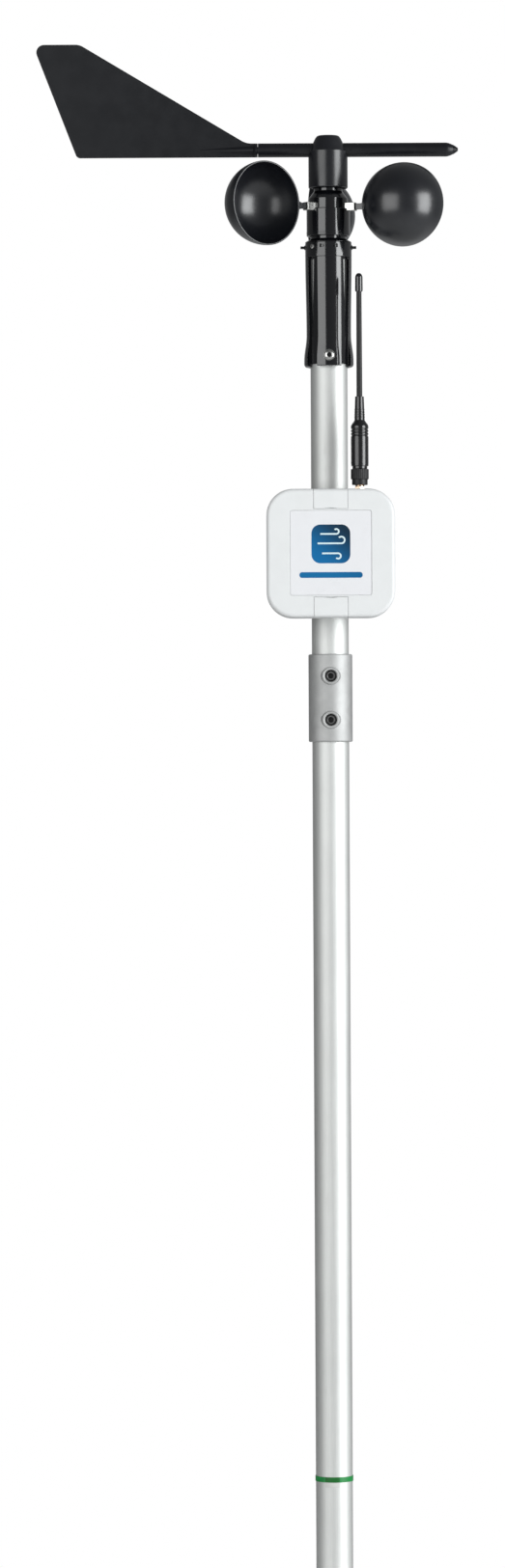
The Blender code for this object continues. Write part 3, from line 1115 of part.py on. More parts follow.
# ---------------------------------------------------------------- whole station


def build():
    """The whole station, from the mast's foot up."""
    clear_scene()
    lower = frame("lower_mast_axis", (0, 0, 0))
    build_lower_mast(lower)
    build_coupling(lower)
    upper = frame("upper_mast_axis", (0, 0, 0))
    build_upper_mast(upper)
    head = frame("head_frame", (0, 0, HEAD_HEIGHT), upper)
    build_socket(head)
    build_core(head)
    rotor = frame("cup_rotor_axis", (0, 0, HEAD_HEIGHT))
    for name, low in (("lower", LOWER_BEARING), ("upper", UPPER_BEARING)):
        ring(f"cup_bearing_{name}", SPINDLE_RADIUS + GAP, BEARING_RADIUS, low, low + BEARING_WIDTH,
             "stainless_steel", head, FINE)
    build_rotor(rotor)
    build_vane(frame("vane_axis", (0, 0, HEAD_HEIGHT)))
    box = frame("radio_box_frame", (0, 0, UPPER_TUBE_BOTTOM + BOX_HEIGHT_UP), upper, FACING_FRONT)
    build_box(box)
    for side, name in ((1, "top"), (-1, "bottom")):
        build_flap(box, side, name)
    build_bracket(box)
    build_grommet(box)
    build_electronics(box)
    antenna_up = (-math.radians(90), 0, 0)
    build_antenna(frame("antenna_frame", (ANTENNA_X, BOX_HALF, BOX_BACK + ANTENNA_BACK), box, antenna_up))
    bpy.context.view_layer.update()


build()
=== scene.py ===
"""Looks of the mast weather station: its detailed pieces, their finishes and a plain studio.

Metres, +Z up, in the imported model's frame: the origin is under the mast and -Y is the front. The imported
model gives every place, and the classes below hold the sizes of the details that it leaves out.
"""

from __future__ import annotations

import logging
import math
from collections.abc import Callable, Sequence
from dataclasses import dataclass
from enum import Enum

import bmesh
import bpy
from bmesh.types import BMEdge, BMesh
from mathutils import Matrix, Vector


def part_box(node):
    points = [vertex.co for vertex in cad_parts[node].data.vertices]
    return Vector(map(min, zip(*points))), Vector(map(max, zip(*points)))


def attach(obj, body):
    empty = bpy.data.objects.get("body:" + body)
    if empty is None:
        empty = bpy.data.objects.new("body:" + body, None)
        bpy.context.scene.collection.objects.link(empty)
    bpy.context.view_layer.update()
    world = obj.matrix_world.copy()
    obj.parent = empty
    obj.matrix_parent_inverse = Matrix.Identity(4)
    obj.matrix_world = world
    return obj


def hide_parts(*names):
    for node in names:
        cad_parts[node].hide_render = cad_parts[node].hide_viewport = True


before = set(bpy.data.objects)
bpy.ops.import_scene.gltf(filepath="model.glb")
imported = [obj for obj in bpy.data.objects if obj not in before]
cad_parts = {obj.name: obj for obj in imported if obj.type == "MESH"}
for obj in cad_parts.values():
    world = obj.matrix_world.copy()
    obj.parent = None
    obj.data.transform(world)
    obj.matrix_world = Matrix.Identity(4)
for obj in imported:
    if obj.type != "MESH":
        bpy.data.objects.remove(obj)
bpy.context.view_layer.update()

log = logging.getLogger("weather_station")

MM = 0.001
GAP = 0.3 * MM  # between pieces that touch
TUBE_WALL = 2.0 * MM  # of both mast tubes
CABLE_HOLE = 4.9 * MM  # radius of the cable's way through the box, the saddle and the mast
Pair = tuple[float, float]
Triple = tuple[float, float, float]

FRONT = Matrix.Rotation(math.radians(90), 4, "X")  # Z turned to the front, Y to the top
BACK = Matrix.Rotation(math.radians(-90), 4, "X")
RIGHT = Matrix.Rotation(math.radians(90), 4, "Y")
LEFT = Matrix.Rotation(math.radians(-90), 4, "Y")


class Body(Enum):
    """The bodies that move as one."""

    LOWER_MAST = "lower_mast"
    UPPER_MAST = "upper_mast"
    CUP_ROTOR = "cup_rotor"
    WIND_VANE = "wind_vane"
    TOP_FLAP = "top_flap"
    BOTTOM_FLAP = "bottom_flap"


class Slot(Enum):
    """The record's material slots."""

    ALUMINIUM = "anodised_aluminium"
    CASTING = "cast_aluminium"
    BLACK = "black_plastic"
    VANE = "vane_plastic"
    WHITE = "white_plastic"
    LABEL = "label_film"
    ANTENNA = "antenna_rubber"
    TAPE = "green_tape"
    STAINLESS = "stainless_steel"
    DARK_STEEL = "dark_steel"
    GOLD = "gold_plate"
    BRASS = "brass"
    SEAL = "sealing_rubber"
    BOARD = "circuit_board"
    CELL = "battery_wrap"
    GLASS = "reed_glass"
    PLUG = "plug_plastic"


class Axis(Enum):
    """The three directions of a form."""

    X = 0
    Y = 1
    Z = 2


# ---------------------------------------------------------------- shader maths


class Value:
    """A number in a material that takes part in Python expressions."""

    def __init__(self, graph: Graph, socket: bpy.types.NodeSocket) -> None:
        """Wraps an output socket of a graph's node."""
        self.graph = graph
        self.socket = socket

    def _with(self, operation: str, first: Value | float, second: Value | float) -> Value:
        """One Math node on two numbers."""
        return Value(self.graph, self.graph.node(
            "ShaderNodeMath", {"operation": operation}, {0: first, 1: second}).outputs[0])

    def __add__(self, other: Value | float) -> Value:
        """The sum."""
        return self._with("ADD", self, other)

    __radd__ = __add__

    def __sub__(self, other: Value | float) -> Value:
        """The difference."""
        return self._with("SUBTRACT", self, other)

    def __rsub__(self, other: float) -> Value:
        """The difference, from a plain number."""
        return self._with("SUBTRACT", other, self)

    def __mul__(self, other: Value | float) -> Value:
        """The product."""
        return self._with("MULTIPLY", self, other)

    __rmul__ = __mul__


class Graph:
    """One material's nodes, round its Principled shader."""

    def __init__(self, name: str) -> None:
        """Makes the material."""
        self.material = bpy.data.materials.new(name)
        self.material.use_nodes = True
        self.tree = self.material.node_tree
        self.shader = self.tree.nodes["Principled BSDF"]
        self.place = self.node("ShaderNodeTexCoord").outputs["Object"]

    def node(self, kind: str, settings: dict | None = None, inputs: dict | None = None) -> bpy.types.Node:
        """Makes one node.

        Args:
            kind: The node's type.
            settings: Its properties, set first.
            inputs: A value or a link for each socket, by name or number.

        Returns:
            The node.
        """
        made = self.tree.nodes.new(kind)
        for name, value in (settings or {}).items():
            setattr(made, name, value)
        for name, value in (inputs or {}).items():
            self.feed(made.inputs[name], value)
        return made

    def feed(self, socket: bpy.types.NodeSocket,
             value: Value | bpy.types.NodeSocket | float | Sequence) -> None:
        """Links a value to a socket, or sets the socket to it."""
        source = value.socket if isinstance(value, Value) else value
        if isinstance(source, bpy.types.NodeSocket):
            self.tree.links.new(source, socket)
        elif socket.type == "RGBA":
            socket.default_value = (*source, 1.0)
        else:
            socket.default_value = source

    def stretched(self, scale: Triple, centre: Triple = (0.0, 0.0, 0.0)) -> bpy.types.NodeSocket:
        """The piece's own coordinates about a centre, scaled.

        Args:
            scale: How much each direction is multiplied.
            centre: The place that becomes zero.

        Returns:
            The vector socket.
        """
        moved = self.node("ShaderNodeVectorMath", {"operation": "SUBTRACT"}, {0: self.place, 1: centre})
        return self.node("ShaderNodeMapping", {"vector_type": "POINT"}, {
            "Vector": moved.outputs[0], "Scale": scale}).outputs[0]

    def noise(self, size: float, detail: float = 3.0, vector: bpy.types.NodeSocket | None = None) -> Value:
        """Smooth noise.

        Args:
            size: How wide its patches are, in metres.
            detail: How many finer layers it has.
            vector: Coordinates, or the piece's own.

        Returns:
            A number from 0 to 1.
        """
        made = self.node("ShaderNodeTexNoise", {"noise_dimensions": "3D"}, {
            "Vector": vector or self.place, "Scale": 1.0 / size, "Detail": detail, "Roughness": 0.6})
        return Value(self, made.outputs[0])

    def cells(self, size: float) -> Value:
        """How far the nearest of many scattered points is.

        Args:
            size: How wide the points' cells are, in metres.

        Returns:
            The distance, in cell widths.
        """
        return Value(self, self.node("ShaderNodeTexVoronoi", {"feature": "F1"}, {
            "Vector": self.place, "Scale": 1.0 / size}).outputs["Distance"])

    def length(self, vector: bpy.types.NodeSocket) -> Value:
        """How long a vector is."""
        made = self.node("ShaderNodeVectorMath", {"operation": "LENGTH"}, {0: vector})
        return Value(self, made.outputs["Value"])

    def between(self, value: Value, low: float, high: float, start: float = 0.0, end: float = 1.0) -> Value:
        """Maps a number from one range to another with soft ends.

        Args:
            value: The number.
            low: Where it starts to change.
            high: Where it stops.
            start: What low becomes.
            end: What high becomes.

        Returns:
            The mapped number.
        """
        return Value(self, self.node("ShaderNodeMapRange", {"interpolation_type": "SMOOTHSTEP"}, {
            "Value": value, "From Min": low, "From Max": high, "To Min": start, "To Max": end}).outputs[0])

    def mix(self, first: Triple | bpy.types.NodeSocket, second: Triple | bpy.types.NodeSocket,
            share: Value | float) -> bpy.types.NodeSocket:
        """One colour into another.

        Args:
            first: The colour at a share of 0.
            second: The colour at a share of 1.
            share: How much of the second.

        Returns:
            The colour socket.
        """
        return self.node("ShaderNodeMix", {"data_type": "RGBA"}, {0: share, 6: first, 7: second}).outputs[2]

    def relief(self, height: Value, depth: float, strength: float = 1.0) -> None:
        """Gives the surface a relief.

        Args:
            height: The height, from 0 to 1.
            depth: How deep that is, in metres.
            strength: How much of it shows.
        """
        bump = self.node("ShaderNodeBump", None, {"Strength": strength, "Distance": depth, "Height": height})
        self.tree.links.new(bump.outputs[0], self.shader.inputs["Normal"])


# ---------------------------------------------------------------- finishes


def shade(colour: Triple, factor: float) -> Triple:
    """The colour made lighter or darker."""
    return tuple(min(1.0, channel * factor) for channel in colour)


@dataclass(frozen=True)
class Finish:
    """A colour with its gloss and metal, and a pattern that each kind of finish adds."""

    name: str
    colour: Triple
    roughness: float
    metallic: float = 0.0

    def material(self) -> bpy.types.Material:
        """The finish as a material, made once."""
        found = bpy.data.materials.get(f"{self.name}_finish")
        if found:
            return found
        graph = Graph(f"{self.name}_finish")
        graph.shader.inputs["Metallic"].default_value = self.metallic
        self.dress(graph)
        return graph.material

    def dress(self, graph: Graph) -> None:
        """Adds the pattern."""
        raise NotImplementedError

    def spread(self, graph: Graph, tone: Value, contrast: float, matt: Value, change: float) -> None:
        """Varies the colour and the gloss.

        Args:
            graph: The material's nodes.
            tone: Where the colour is lighter, from 0 to 1.
            contrast: How much lighter or darker it becomes.
            matt: Where the surface is rougher, from 0 to 1.
            change: How much rougher.
        """
        pair = (shade(self.colour, 1 - contrast), shade(self.colour, 1 + contrast))
        graph.feed(graph.shader.inputs["Base Color"], graph.mix(*pair, tone))
        graph.feed(graph.shader.inputs["Roughness"], self.roughness + (matt - 0.5) * change)


@dataclass(frozen=True)
class DrawnMetal(Finish):
    """Drawn and anodised tube: long fine streaks, faint clouds and a satin surface."""

    metallic: float = 1.0
    streak: float = 1.1 * MM
    length: float = 90.0

    def dress(self, graph: Graph) -> None:
        """Streaks along the tube in colour, gloss and relief."""
        along = graph.stretched((1.0, 1.0, 1.0 / self.length))
        coarse = graph.noise(self.streak, 3.0, along)
        fine = graph.noise(self.streak / 6, 2.0, along)
        cloud = graph.noise(60 * MM, 4.0)
        grain = graph.noise(0.35 * MM, 2.0)
        tone = graph.between(coarse * 0.4 + fine * 0.25 + cloud * 0.35, 0.34, 0.66)
        rub = graph.between(graph.noise(7 * MM, 5.0, graph.stretched((1.0, 1.0, 0.2))), 0.6, 0.72)
        self.spread(graph, tone, 0.05, coarse * 0.5 + grain * 0.3 + rub * 0.25, 0.16)
        graph.relief(coarse * 0.4 + fine * 0.3 + grain * 0.3, 0.02 * MM, 0.55)


@dataclass(frozen=True)
class CastMetal(Finish):
    """Die-cast and blasted metal: a pebbled skin with small pits and darker clouds."""

    metallic: float = 1.0
    grain: float = 0.5 * MM

    def dress(self, graph: Graph) -> None:
        """Pebbles, pits and clouds."""
        pebbles = graph.noise(self.grain, 4.0)
        pits = graph.between(graph.cells(1.3 * MM), 0.05, 0.22)
        cloud = graph.between(graph.noise(14 * MM, 5.0), 0.35, 0.65)
        self.spread(graph, cloud * 0.6 + pits * 0.4, 0.09, pebbles, 0.2)
        graph.relief(pebbles * 0.6 + pits * 0.4, 0.05 * MM, 0.8)


@dataclass(frozen=True)
class TurnedMetal(Finish):
    """Machined or plated metal: close tool marks round the piece, with rubbed spots."""

    metallic: float = 1.0
    pitch: float = 0.25 * MM
    tarnish: Triple = (0.2, 0.17, 0.13)
    wear: float = 0.12

    def dress(self, graph: Graph) -> None:
        """Tool marks, tarnish and rubbed spots."""
        marks = graph.noise(self.pitch, 2.0, graph.stretched((0.06, 0.06, 1.0)))
        spots = graph.between(graph.noise(1.8 * MM, 5.0), 0.5, 0.72)
        tone = graph.mix(shade(self.colour, 0.93), shade(self.colour, 1.07), marks)
        graph.feed(graph.shader.inputs["Base Color"], graph.mix(tone, self.tarnish, spots * self.wear))
        graph.feed(graph.shader.inputs["Roughness"], self.roughness + marks * 0.08 + spots * 0.14)
        graph.relief(marks * 0.7 + spots * 0.3, 0.01 * MM, 0.6)


@dataclass(frozen=True)
class DrivenScrew(TurnedMetal):
    """A screw's metal with painted shade: dark inside the drive on its face and outside its bright ring,
    where the recess and the gap round the head fall in shade.
    """

    centre: Triple = (0.0, 0.0, 0.0)  # of the drive
    # Inside the drive radius and outside the ring radius, the face gets painted shade.
    drive: float = 2.0 * MM  # the bright ring's inner radius
    ring: float = 10.0 * MM  # and its outer one
    # The painted shade's colour: a near-black for the shade in the drive and round the head.
    painted_shade: Triple = (0.012, 0.012, 0.012)

    def dress(self, graph: Graph) -> None:
        """The metal, then the painted shade in the drive and round the ring."""
        super().dress(graph)
        away = graph.length(graph.stretched((1.0, 0.0, 1.0), self.centre))
        # Where the metal shows. Elsewhere painted shade, not metal, darkens the face.
        unshaded = (graph.between(away, self.drive * 0.93, self.drive)
                 * graph.between(away, self.ring, self.ring * 0.95))
        metal = graph.shader.inputs["Base Color"].links[0].from_socket
        graph.feed(graph.shader.inputs["Base Color"], graph.mix(self.painted_shade, metal, unshaded))
        # The painted-shade parts are made non-metal so that they stay dark.
        graph.feed(graph.shader.inputs["Metallic"], unshaded)


@dataclass(frozen=True)
class MouldedPlastic(Finish):
    """Injection-moulded plastic: an eroded skin, faint flow clouds and a little dust."""

    grain: float = 0.3 * MM
    depth: float = 0.015 * MM
    contrast: float = 0.06
    change: float = 0.1
    dust: float = 0.3
    dust_colour: Triple = (0.3, 0.3, 0.29)
    coat: float = 0.0

    def dress(self, graph: Graph) -> None:
        """Skin, clouds and dust, with a coat where the mould was polished."""
        skin = graph.noise(self.grain, 3.0)
        flow = graph.between(graph.noise(18 * MM, 4.0), 0.35, 0.65)
        ripple = graph.noise(4 * MM, 2.0)
        specks = graph.between(graph.cells(1.6 * MM), 0.09, 0.03)
        settled = specks * graph.between(graph.noise(9 * MM, 2.0), 0.52, 0.7) * self.dust
        tone = graph.mix(shade(self.colour, 1 - self.contrast), shade(self.colour, 1 + self.contrast),
                         flow * 0.7 + skin * 0.3)
        graph.feed(graph.shader.inputs["Base Color"], graph.mix(tone, self.dust_colour, settled))
        graph.feed(graph.shader.inputs["Roughness"],
                   self.roughness + (skin * 0.5 + flow * 0.5 - 0.5) * self.change + settled * 0.3)
        graph.shader.inputs["Coat Roughness"].default_value = self.roughness * 0.8
        graph.feed(graph.shader.inputs["Coat Weight"], self.coat * (1.0 - settled))
        graph.relief(skin * 0.45 + ripple * 0.55, self.depth, 0.7)


@dataclass(frozen=True)
class Tape(Finish):
    """Thin coloured tape: small wrinkles across it and a slightly uneven stretch."""

    def dress(self, graph: Graph) -> None:
        """Wrinkles and stretch."""
        wrinkle = graph.noise(1.2 * MM, 3.0, graph.stretched((1.0, 1.0, 0.25)))
        stretch = graph.between(graph.noise(6 * MM, 3.0), 0.35, 0.65)
        self.spread(graph, stretch * 0.6 + wrinkle * 0.4, 0.14, wrinkle, 0.15)
        graph.relief(wrinkle, 0.04 * MM, 0.6)


@dataclass(frozen=True)
class Ink(Finish):
    """Printed colour that runs from one tone to another across the print."""

    far: Triple = (0.0, 0.03, 0.07)
    centre: Triple = (0.0, 0.0, 0.0)
    reach: float = 20.0 * MM

    def dress(self, graph: Graph) -> None:
        """A slanted run of tone with a fine print screen."""
        spot = graph.stretched((1.0 / self.reach, 0.0, 1.0 / self.reach), self.centre)
        parts = graph.node("ShaderNodeSeparateXYZ", None, {0: spot}).outputs
        slant = Value(graph, parts[0]) * 0.45 + Value(graph, parts[2]) * 0.55
        screen = graph.noise(0.5 * MM, 2.0)
        tone = graph.mix(self.colour, self.far, graph.between(slant + screen * 0.12, -0.65, 0.8))
        graph.feed(graph.shader.inputs["Base Color"], tone)
        graph.feed(graph.shader.inputs["Roughness"], self.roughness + screen * 0.08)
        graph.relief(screen, 0.006 * MM, 0.5)


@dataclass(frozen=True)
class SolderedBoard(Finish):
    """Circuit board: lacquer over square copper runs, with tinned pads."""

    def dress(self, graph: Graph) -> None:
        """Copper runs under lacquer and bare pads."""
        runs = graph.node("ShaderNodeTexBrick", {"offset": 0.37, "squash": 0.7, "squash_frequency": 3}, {
            "Vector": graph.place, "Scale": 260.0, "Mortar Size": 0.035, "Brick Width": 1.7,
            "Row Height": 0.5})
        copper = Value(graph, runs.outputs["Fac"])
        lacquer = graph.mix(self.colour, shade(self.colour, 1.9), copper)
        pads = graph.between(graph.cells(3.1 * MM), 0.17, 0.13)
        graph.feed(graph.shader.inputs["Base Color"], graph.mix(lacquer, (0.62, 0.6, 0.55), pads))
        graph.feed(graph.shader.inputs["Metallic"], pads)
        graph.feed(graph.shader.inputs["Roughness"], self.roughness - pads * 0.1)
        graph.relief(copper * 0.5 + pads * 0.5, 0.04 * MM, 0.7)


FINISHES: dict[Slot, Finish] = {
    Slot.ALUMINIUM: DrawnMetal("drawn_tube", (0.79, 0.8, 0.785), 0.62),
    Slot.CASTING: CastMetal("blasted_casting", (0.56, 0.565, 0.56), 0.66),
    Slot.BLACK: MouldedPlastic("satin_black", (0.004, 0.0046, 0.0068), 0.25, coat=1.0),
    Slot.VANE: MouldedPlastic("vane_black", (0.005, 0.0058, 0.008), 0.36, grain=0.25 * MM, depth=0.02 * MM),
    Slot.WHITE: MouldedPlastic("box_white", (0.83, 0.845, 0.845), 0.42, grain=0.28 * MM, depth=0.02 * MM,
                               contrast=0.012, dust_colour=(0.62, 0.6, 0.56)),
    Slot.LABEL: MouldedPlastic("label_white", (0.86, 0.865, 0.885), 0.3, grain=0.6 * MM, depth=0.006 * MM,
                               contrast=0.01, dust_colour=(0.7, 0.68, 0.64)),
    Slot.ANTENNA: MouldedPlastic("antenna_black", (0.005, 0.0052, 0.006), 0.22, grain=0.3 * MM, coat=0.7),
    Slot.TAPE: Tape("green_mark", (0.01, 0.27, 0.055), 0.42),
    Slot.STAINLESS: TurnedMetal("stainless", (0.62, 0.62, 0.6), 0.24),
    Slot.DARK_STEEL: TurnedMetal("black_oxide", (0.05, 0.05, 0.053), 0.34, tarnish=(0.16, 0.12, 0.1)),
    Slot.GOLD: TurnedMetal("gold_plate", (0.9, 0.68, 0.5), 0.22, tarnish=(0.5, 0.26, 0.15), wear=0.35),
    Slot.BRASS: TurnedMetal("brass", (0.72, 0.53, 0.24), 0.3, tarnish=(0.3, 0.18, 0.07)),
    Slot.SEAL: MouldedPlastic("seal_rubber", (0.02, 0.02, 0.021), 0.65, grain=0.5 * MM, depth=0.04 * MM),
    Slot.BOARD: SolderedBoard("lacquered_board", (0.015, 0.14, 0.05), 0.38),
    Slot.CELL: MouldedPlastic("cell_sleeve", (0.04, 0.13, 0.38), 0.3, grain=0.8 * MM, contrast=0.1),
    Slot.GLASS: MouldedPlastic("reed_glass", (0.42, 0.55, 0.46), 0.1, grain=1.5 * MM, coat=1.0),
    Slot.PLUG: MouldedPlastic("plug_black", (0.022, 0.022, 0.024), 0.5, grain=0.35 * MM, depth=0.04 * MM),
}

POLISHED_BLACK = MouldedPlastic("polished_black", (0.004, 0.0044, 0.006), 0.14, depth=0.008 * MM, change=0.06,
                                dust=0.15, coat=1.0)
HUB_BLACK = MouldedPlastic("hub_black", (0.007, 0.0078, 0.011), 0.31, depth=0.012 * MM, coat=0.5)
CUP_BLACK = MouldedPlastic("cup_black", (0.005, 0.006, 0.009), 0.31, coat=0.9)
NUT_BLACK = MouldedPlastic("nut_black", (0.005, 0.005, 0.006), 0.5, grain=0.3 * MM)
WHIP_BLACK = MouldedPlastic("whip_black", (0.006, 0.006, 0.0066), 0.52, grain=0.3 * MM, depth=0.008 * MM)
TAPE_OVERLAP = Tape("green_overlap", (0.0, 0.14, 0.014), 0.5)
TAB_FILM = MouldedPlastic("tab_film", (0.7, 0.7, 0.68), 0.45, grain=0.6 * MM, depth=0.006 * MM, contrast=0.03)
BADGE_MARK = MouldedPlastic("badge_mark", (0.72, 0.88, 0.92), 0.35, grain=0.5 * MM, depth=0.005 * MM,
                            contrast=0.02)


# ---------------------------------------------------------------- forms


def arc(centre: Pair, radius: float, start: float, end: float, steps: int) -> list[Pair]:
    """Points on an arc, both ends included.

    Args:
        centre: The arc's centre.
        radius: Its radius.
        start: Where it starts, in degrees.
        end: Where it ends.
        steps: How many parts it has.

    Returns:
        The points in order.
    """
    angles = [math.radians(start + (end - start) * i / steps) for i in range(steps + 1)]
    return [(centre[0] + radius * math.cos(a), centre[1] + radius * math.sin(a)) for a in angles]


def filleted(corners: Sequence[Pair], radii: Sequence[float], steps: int = 8) -> list[Pair]:
    """An outline with each corner rounded to its own radius.

    Args:
        corners: The corners in order.
        radii: One radius each. Zero leaves a corner sharp.
        steps: How many parts each round has.

    Returns:
        The outline's points.
    """
    points: list[Pair] = []
    for i, radius in enumerate(radii):
        here = Vector(corners[i])
        back = (Vector(corners[i - 1]) - here).normalized()
        ahead = (Vector(corners[(i + 1) % len(corners)]) - here).normalized()
        if radius == 0.0:
            points.append(tuple(here))
            continue
        half = back.angle(ahead) / 2
        centre = here + (back + ahead).normalized() * radius / math.sin(half)
        start = here + back * radius / math.tan(half) - centre
        sweep = (math.pi - 2 * half) * (1 if back.cross(ahead) < 0 else -1)
        points += [tuple(centre + Matrix.Rotation(sweep * step / steps, 2) @ start)
                   for step in range(steps + 1)]
    return points


def eased(share: float) -> float:
    """From 0 to 1 with a soft start and a soft end."""
    return 0.5 - 0.5 * math.cos(math.pi * share)


class Form:
    """A solid being shaped: a bmesh and the steps that change it. Each step gives the form back."""

    def __init__(self) -> None:
        """An empty form."""
        self.mesh: BMesh = bmesh.new()

    @classmethod
    def turned(cls, profile: Sequence[Pair], steps: int = 96) -> Form:
        """Turns a closed profile about Z.

        Args:
            profile: Corners as (radius, height). A side on the axis is left out.
            steps: How many parts the turn has.

        Returns:
            The turned form.
        """
        form = cls()
        corners = [form.mesh.verts.new((r, 0.0, z)) for r, z in profile]
        sides = zip(corners, corners[1:] + corners[:1])
        edges = [form.mesh.edges.new(side) for side in sides if side[0].co.x > 0 or side[1].co.x > 0]
        bmesh.ops.spin(form.mesh, geom=corners + edges, axis=(0, 0, 1), cent=(0, 0, 0), angle=math.tau,
                       steps=steps, use_merge=True, use_duplicate=False)
        return form.healed()

    @classmethod
    def sleeve(cls, inner: float, outer: float, low: float, high: float, steps: int = 96) -> Form:
        """A plain ring or tube about Z."""
        return cls.turned([(inner, low), (outer, low), (outer, high), (inner, high)], steps)

    @classmethod
    def rod(cls, radius: float, low: float, high: float, sides: int = 64) -> Form:
        """A round or many-sided bar about Z."""
        form = cls()
        bmesh.ops.create_cone(form.mesh, cap_ends=True, segments=sides, radius1=radius, radius2=radius,
                              depth=high - low)
        return form.moved(z=(low + high) / 2)

    @classmethod
    def block(cls, low: Sequence[float], high: Sequence[float]) -> Form:
        """A block between two corners."""
        form = cls()
        low, high = Vector(low), Vector(high)
        bmesh.ops.create_cube(form.mesh, size=1.0)
        bmesh.ops.scale(form.mesh, verts=form.mesh.verts, vec=high - low)
        return form.moved(*((low + high) / 2))

    @classmethod
    def prism(cls, outline: Sequence[Pair], low: float, high: float) -> Form:
        """An outline of (x, y) raised from one height to another.

        Args:
            outline: The corners in order.
            low: Where it starts along Z.
            high: Where it ends.

        Returns:
            The prism.
        """
        form = cls()
        face = form.mesh.faces.new([form.mesh.verts.new((x, y, low)) for x, y in outline])
        raised = bmesh.ops.extrude_face_region(form.mesh, geom=[face])["geom"]
        top = [part for part in raised if isinstance(part, bmesh.types.BMVert)]
        bmesh.ops.translate(form.mesh, verts=top, vec=(0, 0, high - low))
        return form.healed()

    def healed(self) -> Form:
        """Merges doubles and turns the faces outwards."""
        bmesh.ops.remove_doubles(self.mesh, verts=self.mesh.verts, dist=1e-7)
        bmesh.ops.dissolve_degenerate(self.mesh, edges=self.mesh.edges, dist=1e-7)
        bmesh.ops.recalc_face_normals(self.mesh, faces=self.mesh.faces)
        return self

    def moved(self, x: float = 0.0, y: float = 0.0, z: float = 0.0) -> Form:
        """Moves the form."""
        bmesh.ops.translate(self.mesh, verts=self.mesh.verts, vec=(x, y, z))
        return self

    def laid(self, matrix: Matrix) -> Form:
        """Turns or mirrors the form."""
        bmesh.ops.transform(self.mesh, verts=self.mesh.verts, matrix=matrix)
        if matrix.determinant() < 0:
            bmesh.ops.reverse_faces(self.mesh, faces=self.mesh.faces)
        return self

    def headed(self, degrees: float) -> Form:
        """Turns the form about Z."""
        return self.laid(Matrix.Rotation(math.radians(degrees), 4, "Z"))

    def rounded(self, width: float, steps: int = 3, sharper: float = 30.0,
                chosen: Callable[[BMEdge], bool] | None = None) -> Form:
        """Rounds edges.

        Args:
            width: How wide the rounding is.
            steps: How many parts it has.
            sharper: Edges that bend more than this many degrees are rounded.
            chosen: A test that an edge must also pass.

        Returns:
            The form.
        """
        limit = math.radians(sharper)
        edges = [e for e in self.mesh.edges if e.calc_face_angle(0.0) > limit and (not chosen or chosen(e))]
        bmesh.ops.bevel(self.mesh, geom=edges, offset=width, offset_type="OFFSET", segments=steps,
                        profile=0.5, affect="EDGES", clamp_overlap=True, material=-1)
        return self

    def rounded_along(self, axis: Axis, width: float, steps: int = 10) -> Form:
        """Rounds the edges that run along one direction."""
        def along(edge: BMEdge) -> bool:
            """Whether the edge runs that way."""
            return abs((edge.verts[1].co - edge.verts[0].co).normalized()[axis.value]) > 0.999

        return self.rounded(width, steps, 10.0, along)

    def sliced(self, axis: Axis, parts: int) -> Form:
        """Cuts the faces into slices so that the form can bend.

        Args:
            axis: The direction across the cuts.
            parts: How many slices there are.

        Returns:
            The form.
        """
        places = [v.co[axis.value] for v in self.mesh.verts]
        normal = Vector([float(i == axis.value) for i in range(3)])
        for i in range(1, parts):
            at = normal * (min(places) + (max(places) - min(places)) * i / parts)
            bmesh.ops.bisect_plane(self.mesh, geom=[*self.mesh.verts, *self.mesh.edges, *self.mesh.faces],
                                   dist=1e-7, plane_co=at, plane_no=normal)
        return self

    def bent(self, change: Callable[[Vector], Sequence[float]]) -> Form:
        """Moves each point to where a rule puts it."""
        for vert in self.mesh.verts:
            vert.co = change(vert.co)
        return self

    def wrapped(self, radius: float) -> Form:
        """Wraps a flat form round Z: X becomes the arc at a radius, and -Y the distance from the axis."""
        return self.bent(lambda p: (-p.y * math.sin(p.x / radius), p.y * math.cos(p.x / radius), p.z))

    def joined(self, *others: Form) -> Form:
        """Adds other forms as shells of their own."""
        for other in others:
            mesh = bpy.data.meshes.new("shell")
            other.mesh.to_mesh(mesh)
            self.mesh.from_mesh(mesh)
            bpy.data.meshes.remove(mesh)
            other.mesh.free()
        return self

    def stand_in(self) -> bpy.types.Object:
        """A passing object of this form."""
        mesh = bpy.data.meshes.new("stand_in")
        self.mesh.to_mesh(mesh)
        self.mesh.free()
        made = bpy.data.objects.new("stand_in", mesh)
        bpy.context.scene.collection.objects.link(made)
        return made

    def combined(self, operation: str, others: Sequence[Form]) -> Form:
        """A Boolean with other forms.

        Args:
            operation: DIFFERENCE or UNION.
            others: The forms, which are used up.

        Returns:
            The form.
        """
        target = self.stand_in()
        helpers = [other.stand_in() for other in others]
        for helper in helpers:
            modifier = target.modifiers.new("shape", "BOOLEAN")
            modifier.operation = operation
            modifier.solver = "EXACT"
            modifier.object = helper
        ready = target.evaluated_get(bpy.context.evaluated_depsgraph_get())
        self.mesh = bmesh.new()
        self.mesh.from_mesh(ready.to_mesh())
        ready.to_mesh_clear()
        for used in (target, *helpers):
            mesh = used.data
            bpy.data.objects.remove(used)
            bpy.data.meshes.remove(mesh)
        return self.healed()

    def carved(self, *cutters: Form) -> Form:
        """Cuts other forms out of this one."""
        return self.combined("DIFFERENCE", cutters)

    def fused(self, *others: Form) -> Form:
        """Fuses other forms to this one."""
        return self.combined("UNION", others)


